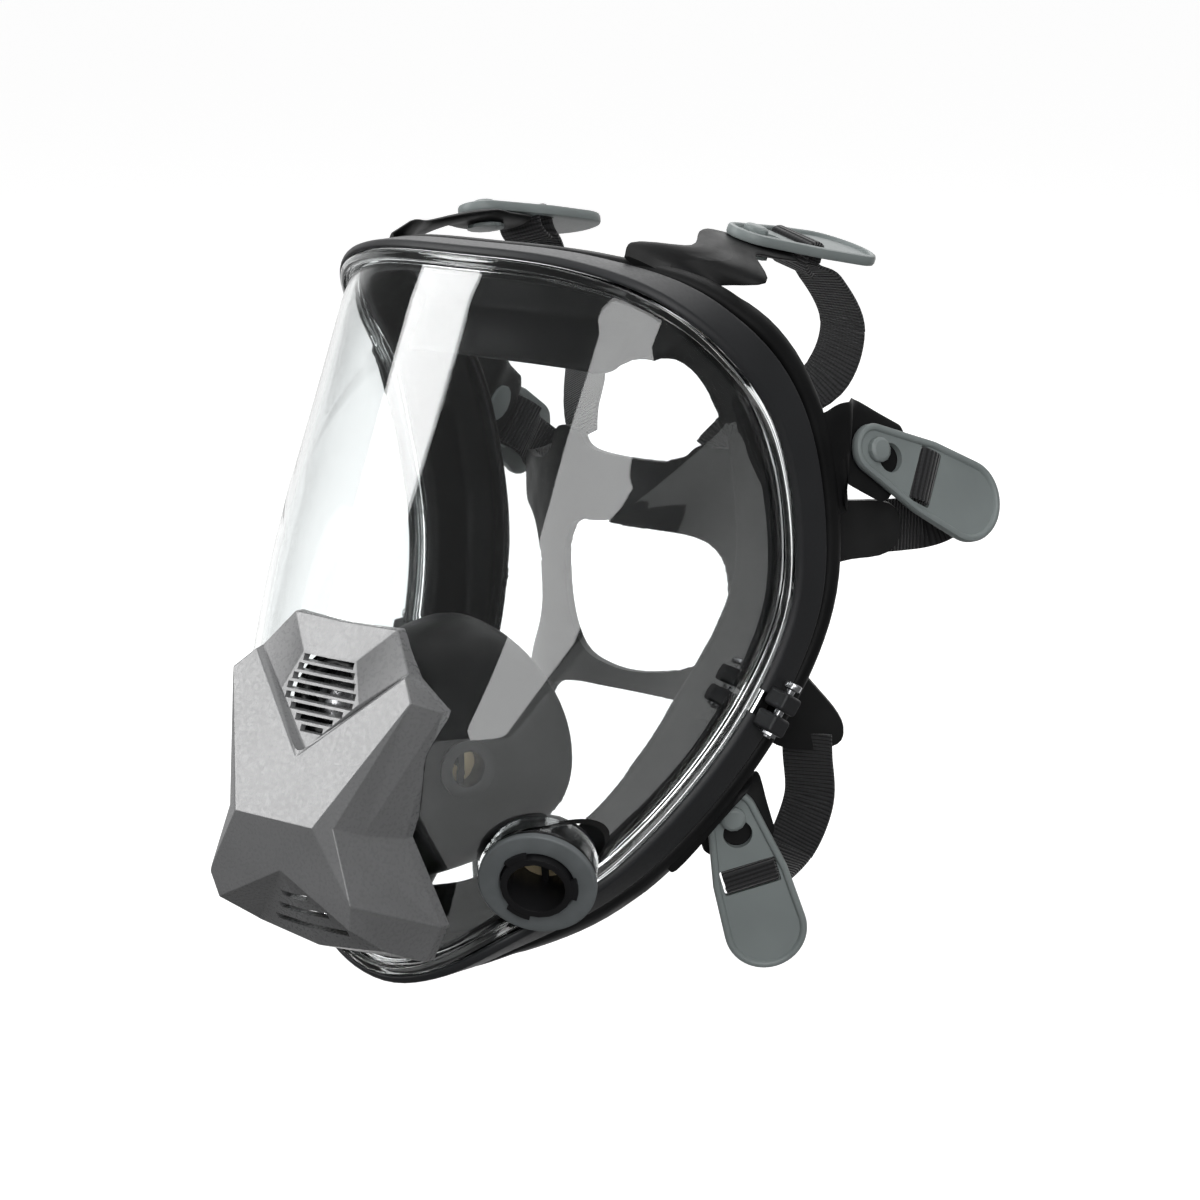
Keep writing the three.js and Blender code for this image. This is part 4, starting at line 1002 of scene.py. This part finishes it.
def make_cradle():
    outer = rounded(both_halves(CRADLE_HALF), 9, 5)
    hole = rounded(both_halves(CRADLE_OPENING), 10, 5)
    shape = bmesh.new()
    for outline in (outer, hole):
        corners = [shape.verts.new((x, 0, z)) for x, z in outline]
        for a, b in zip(corners, corners[1:] + corners[:1]):
            shape.edges.new((a, b))
    bmesh.ops.triangle_fill(shape, use_beauty=True, use_dissolve=False, edges=shape.edges[:])
    for x in range(-CRADLE_REACH, CRADLE_REACH + 1, CRADLE_STEP):
        whole = shape.verts[:] + shape.edges[:] + shape.faces[:]
        bmesh.ops.bisect_plane(shape, geom=whole, plane_co=(x, 0, 0), plane_no=(1, 0, 0))
    for vertex in shape.verts:
        vertex.co.y = CRADLE_BACK + CRADLE_WRAP * (vertex.co.x / CRADLE_REACH) ** 2
        vertex.co = in_row(vertex.co)
    mesh = bpy.data.meshes.new("rubber_head_cradle")
    shape.to_mesh(mesh)
    shape.free()
    cradle = add_to_scene(bpy.data.objects.new("rubber_head_cradle", mesh))
    wall = cradle.modifiers.new("thickness", "SOLIDIFY")
    wall.thickness = CRADLE_THICK * MM
    wall.offset = 1
    applied(cradle)
    shape = bmesh.new()
    shape.from_mesh(cradle.data)
    bmesh.ops.recalc_face_normals(shape, faces=shape.faces)
    if min(v.co.y for v in shape.verts) < (CRADLE_BACK - 1 - FACE_CENTRE.y) * MM:
        bmesh.ops.translate(shape, verts=shape.verts, vec=(0, CRADLE_THICK * MM, 0))
    shape.to_mesh(cradle.data)
    shape.free()
    soften(cradle, 0.9, 3, 50)
    shade(cradle, 50)
    paint(cradle, "black_rubber")
    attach(cradle, "head_cradle")
    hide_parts("head_cradle")


# ---------------------------------------------------------------------------
# Front cover: a faceted X whose arms stand over a recessed upper plate
# ---------------------------------------------------------------------------

# Half of the cover's corners; each name off the centre line has a mirrored twin.
CORNERS = {
    "topMiddle": (0, -53.5, -109), "topCorner": (22.6, -53, -108.6),
    "grilleTop": (11.7, -60.2, -118.9), "grilleTopMiddle": (0, -60.6, -118.9),
    "grilleWide": (17.3, -65.1, -131.4), "grilleLow": (4.9, -69.2, -142.4),
    "grilleLowMiddle": (0, -69.2, -142.4), "plateShoulder": (32.3, -58.3, -120.2),
    "plateTip": (0, -71.6, -147.4), "shoulder": (32.9, -60.5, -121), "armTip": (0, -76, -148.6),
    "elbow": (39.4, -64.9, -127.3), "shoulderBack": (44.5, -56, -131),
    "waistMiddle": (0, -86.3, -166.7), "waist": (17.1, -86.3, -166.7),
    "waistSide": (23, -83, -166.5), "waistFold": (25.5, -72.5, -170.5),
    "waistBack": (28.5, -57, -174), "apex": (0, -83.8, -183.9), "panelApex": (0, -82.2, -186.2),
    "foot": (31.5, -84.3, -189.5), "footTip": (29.3, -82.6, -198.2), "footBack": (36.5, -49, -203),
    "panelCorner": (28.4, -66.1, -208.9), "panelMiddle": (0, -67.2, -211.9),
    "baseCorner": (30.5, -50, -215.5), "baseMiddle": (0, -50, -218),
}
# The faces of one half, each a run of corner names.
COVER_FACES = [
    "topMiddle grilleTopMiddle grilleTop", "topMiddle grilleTop topCorner",
    "topCorner grilleTop grilleWide", "topCorner grilleWide plateShoulder",
    "plateShoulder grilleWide grilleLow", "plateShoulder grilleLow plateTip",
    "grilleLow grilleLowMiddle plateTip", "grilleTopMiddle grilleLowMiddle grilleLow",
    "grilleTopMiddle grilleLow grilleWide", "grilleTopMiddle grilleWide grilleTop",
    "plateShoulder plateTip armTip", "plateShoulder armTip shoulder", "shoulder armTip elbow",
    "armTip waist elbow", "armTip waistMiddle waist", "shoulder elbow shoulderBack",
    "elbow waist waistSide", "elbow waistSide waistFold", "elbow waistFold shoulderBack",
    "shoulderBack waistFold waistBack", "waistMiddle apex waist", "apex footTip foot",
    "apex foot waist", "waist foot waistSide", "waistSide foot footBack",
    "waistSide footBack waistFold", "waistFold footBack waistBack", "foot footTip panelCorner",
    "foot panelCorner baseCorner", "foot baseCorner footBack", "apex panelApex panelCorner",
    "apex panelCorner footTip", "panelApex panelMiddle panelCorner",
    "panelMiddle baseMiddle baseCorner", "panelMiddle baseCorner panelCorner",
]
COVER_EDGE = (
    "topMiddle topCorner plateShoulder shoulder shoulderBack waistBack footBack baseCorner"
    " baseMiddle"
).split()
COVER_HEART = Vector((0, -44, -160))
COVER_INNER = 0.925
SLOT_HIGH = 2.1
# Two rows of slots: the top slot's height, how far the row runs down, and how many there are.
UPPER_SLOTS = {"top": -120.6, "run": 20.6, "count": 8}
LOWER_SLOTS = {"top": -193.5, "run": 11, "count": 3}
BETWEEN_ROWS = -160
GRILLE_MARGIN = 1.4
# The lower panel widens going down: its narrow half width, what it gains, and over what drop.
LOWER_PANEL = {"top": -192, "over": 13, "narrow": 4.4, "gain": 12.1}
# The block that stands for all that is behind the visor's face where the cover sits.
BEHIND_VISOR = {"half": 52, "top": -98, "high": 126, "back": 20, "steps": 32}


def cover_block(name, scale, depth, body=None):
    """The cover's solid block, scaled about its heart and run back by depth behind its edge."""
    points, faces, index = [], [], {}

    def corner(name, side, layer):
        key = (name, side if CORNERS[name][0] else 0, layer)
        if key not in index:
            index[key] = len(points)
            at = mirrored(CORNERS[name], side)
            points.append(COVER_HEART + (at - COVER_HEART) * scale + BACK * layer * depth)
        return index[key]

    for side in SIDES.values():
        for names in COVER_FACES:
            faces.append([corner(name, side, 0) for name in names.split()])
        for a, b in zip(COVER_EDGE, COVER_EDGE[1:]):
            front = [corner(a, side, 0), corner(b, side, 0)]
            faces.append(front + [corner(b, side, 1), corner(a, side, 1)])
    rim = [(name, 1) for name in COVER_EDGE] + [(name, -1) for name in COVER_EDGE[-2:0:-1]]
    faces.append([corner(name, side, 1) for name, side in rim])
    return make_piece(name, points, faces, "cover_plastic", body)


def behind_visor(ahead):
    """Everything behind the visor's outer surface moved forward by ahead."""
    half, back, steps = (BEHIND_VISOR[key] for key in ("half", "back", "steps"))
    rings = []
    for i in range(steps + 1):
        z = BEHIND_VISOR["top"] - BEHIND_VISOR["high"] * i / steps
        row = [Vector((half * (j / (steps // 2) - 1), 0, z)) for j in range(steps + 1)]
        for point in row:
            point.y = visor_y(point.x, z) - ahead
        rings.append(row + [Vector((half, back, z)), Vector((-half, back, z))])
    return loft("cutter", rings, "steel", body=None)


def slot_half(z):
    """Half the width of a slot at this height, in the upper grille or the lower one."""
    if z < BETWEEN_ROWS:
        down = LOWER_PANEL["top"] - z
        return LOWER_PANEL["narrow"] + LOWER_PANEL["gain"] * down / LOWER_PANEL["over"]
    top, wide, low = (CORNERS[name] for name in ("grilleTop", "grilleWide", "grilleLow"))
    far = top if z > wide[2] else low
    share = (z - wide[2]) / (far[2] - wide[2])
    return wide[0] + (far[0] - wide[0]) * share - GRILLE_MARGIN


def slot_heights(row):
    last = row["count"] - 1
    return [row["top"] - row["run"] * i / last for i in range(row["count"])]


def cover_slots():
    for z in slot_heights(UPPER_SLOTS) + slot_heights(LOWER_SLOTS):
        half = slot_half(z)
        corners = box_points((-half, -95, z - SLOT_HIGH / 2), (half, -40, z + SLOT_HIGH / 2))
        yield loft("cutter", [corners[:4], corners[4:]], "steel", body=None)


def make_cover():
    cover = cover_block("faceted_cover", 1, 4, "front_cover")
    flat = cover.modifiers.new("whole_faces", "DECIMATE")
    flat.decimate_type = "DISSOLVE"
    flat.angle_limit = math.radians(1)
    soften(cover, 0.9, 4, 8, harden=False)
    applied(cover)
    boolean(cover, cover_block("cutter", COVER_INNER, 60), "DIFFERENCE")
    boolean(cover, behind_visor(0.5), "DIFFERENCE")
    for slot in cover_slots():
        boolean(cover, slot, "DIFFERENCE")
    shade(cover, 30)
    cover.modifiers.new("even_shading", "WEIGHTED_NORMAL").keep_sharp = True
    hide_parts("front_cover")


# ---------------------------------------------------------------------------
# Nose cup
# ---------------------------------------------------------------------------

CUP_MIDDLE_Z = -160
CUP_WALL = 2.2
CUP_STATIONS = 72
CUP_SPEECH_HOLE = 14.1
CUP_VALVE_HOLE = 13.3
# Rings from the front wall to the face: depth, lean, half width, and reach up and down.
CUP_RINGS = [
    (-36.2, 0.17, 0.4, 0.6, 0.6), (-36, 0.17, 12, 20, 20), (-34, 0.17, 20.5, 35, 36),
    (-14, 0.1, 33, 42, 37), (12, 0, 37, 45, 32), (17, 0, 31, 38, 26),
]
NOSE_VALVE = {"at": Vector((28.5, -29, -156)), "axis": Vector((0.908, -0.419, 0)), "radius": 7.3}


def cup_point(row, angle):
    depth, lean, half, up, down = row
    rise = math.cos(angle) * (up if math.cos(angle) > 0 else down)
    bridge = max(0, math.cos(angle)) ** 2 * 12 * (1 - lean / 0.17)
    return Vector((math.sin(angle) * half, depth - lean * (37 + rise) - bridge, CUP_MIDDLE_Z + rise))


def make_nose_cup():
    turns = [2 * math.pi * i / CUP_STATIONS for i in range(CUP_STATIONS)]
    rings = [[cup_point(row, turn) for turn in turns] for row in catmull_rom(CUP_RINGS, 6)]
    points = [p for ring in rings for p in ring]
    cup = make_piece("rubber_nose_cup", points, skin(rings)[:-1], "black_rubber")
    wall = cup.modifiers.new("wall", "SOLIDIFY")
    wall.thickness = CUP_WALL * MM
    applied(cup)
    boolean(cup, plug(CUP_SPEECH_HOLE, -40, 0, SPEECH), "DIFFERENCE")
    boolean(cup, plug(CUP_VALVE_HOLE, -40, 0, VALVE), "DIFFERENCE")
    for side in SIDES.values():
        place = place_at(mirrored(NOSE_VALVE["at"], side), mirrored(NOSE_VALVE["axis"], side))
        boolean(cup, plug(NOSE_VALVE["radius"], -8, 8, place), "DIFFERENCE")
    shade(cup, 50)
    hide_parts("nose_cup")


# ---------------------------------------------------------------------------
# Filter ports
# ---------------------------------------------------------------------------


def make_ports():
    bore, radius, deep = GASKET["bore"], GASKET["radius"], GASKET["deep"]
    gasket = [(bore, -deep), (radius, -deep), (radius, 0), (bore, 0)]
    for label, side in SIDES.items():
        place = port_place(side)
        ring = turned(f"port_gasket_ring_{label}", rounded(gasket, 0.8), place, "grey_rubber")
        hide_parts(f"filter_gasket_{label}")
        for node in (f"filter_port_{label}", f"filter_port_nut_{label}"):
            refine(node, 0.4, "black_plastic")


# ---------------------------------------------------------------------------
# CAD nodes that stay, with rounded edges and their own finish
# ---------------------------------------------------------------------------


CAD_SHARP_ANGLE = 30


def refine(node, width, slot):
    """Merges a CAD node's facets, rounds its edges by width millimetres and paints it."""
    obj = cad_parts[node]
    joined = obj.modifiers.new("joined_faces", "WELD")
    joined.merge_threshold = 1e-6
    flat = obj.modifiers.new("whole_faces", "DECIMATE")
    flat.decimate_type = "DISSOLVE"
    flat.angle_limit = math.radians(1)
    if width:
        soften(obj, width, angle=CAD_SHARP_ANGLE)
    shade(obj, CAD_SHARP_ANGLE)
    paint(obj, slot)


def finish_cad_nodes():
    for label in SIDES:
        refine(f"clamp_screw_{label}", 0.3, "steel")
        refine(f"clamp_nut_{label}", 0.3, "steel")
        refine(f"inhalation_flap_{label}", 0.1, "valve_silicone")
        refine(f"nose_valve_seat_{label}", 0.3, "black_plastic")
        refine(f"nose_valve_flap_{label}", 0.1, "valve_silicone")
        for site in BUCKLE_SITES:
            refine(f"{site}_stud_{label}", 0.4, "buckle_plastic")
    refine("speech_housing", 0.3, "black_plastic")
    refine("speech_gasket", 0.1, "grey_rubber")
    refine("speaking_diaphragm", 0.0, "steel")
    refine("diaphragm_ring", 0.3, "black_plastic")
    refine("exhalation_valve_seat", 0.3, "black_plastic")
    refine("exhalation_gasket", 0.1, "grey_rubber")
    refine("exhalation_flap", 0.1, "valve_silicone")


# ---------------------------------------------------------------------------
# The whole mask
# ---------------------------------------------------------------------------

make_camera()
make_world()
make_floor()
make_softboxes()
make_visor()
frame_half("frame_upper_band", 1, "upper_frame")
frame_half("frame_lower_band", -1, "lower_frame")
make_face_seal()
for site in BUCKLE_SITES:
    for label in SIDES:
        make_buckle(site, label)
        make_straps(site, label)
make_cradle()
make_nose_cup()
make_cover()
make_ports()
finish_cad_nodes()
bpy.context.scene.view_settings.view_transform = "Standard"
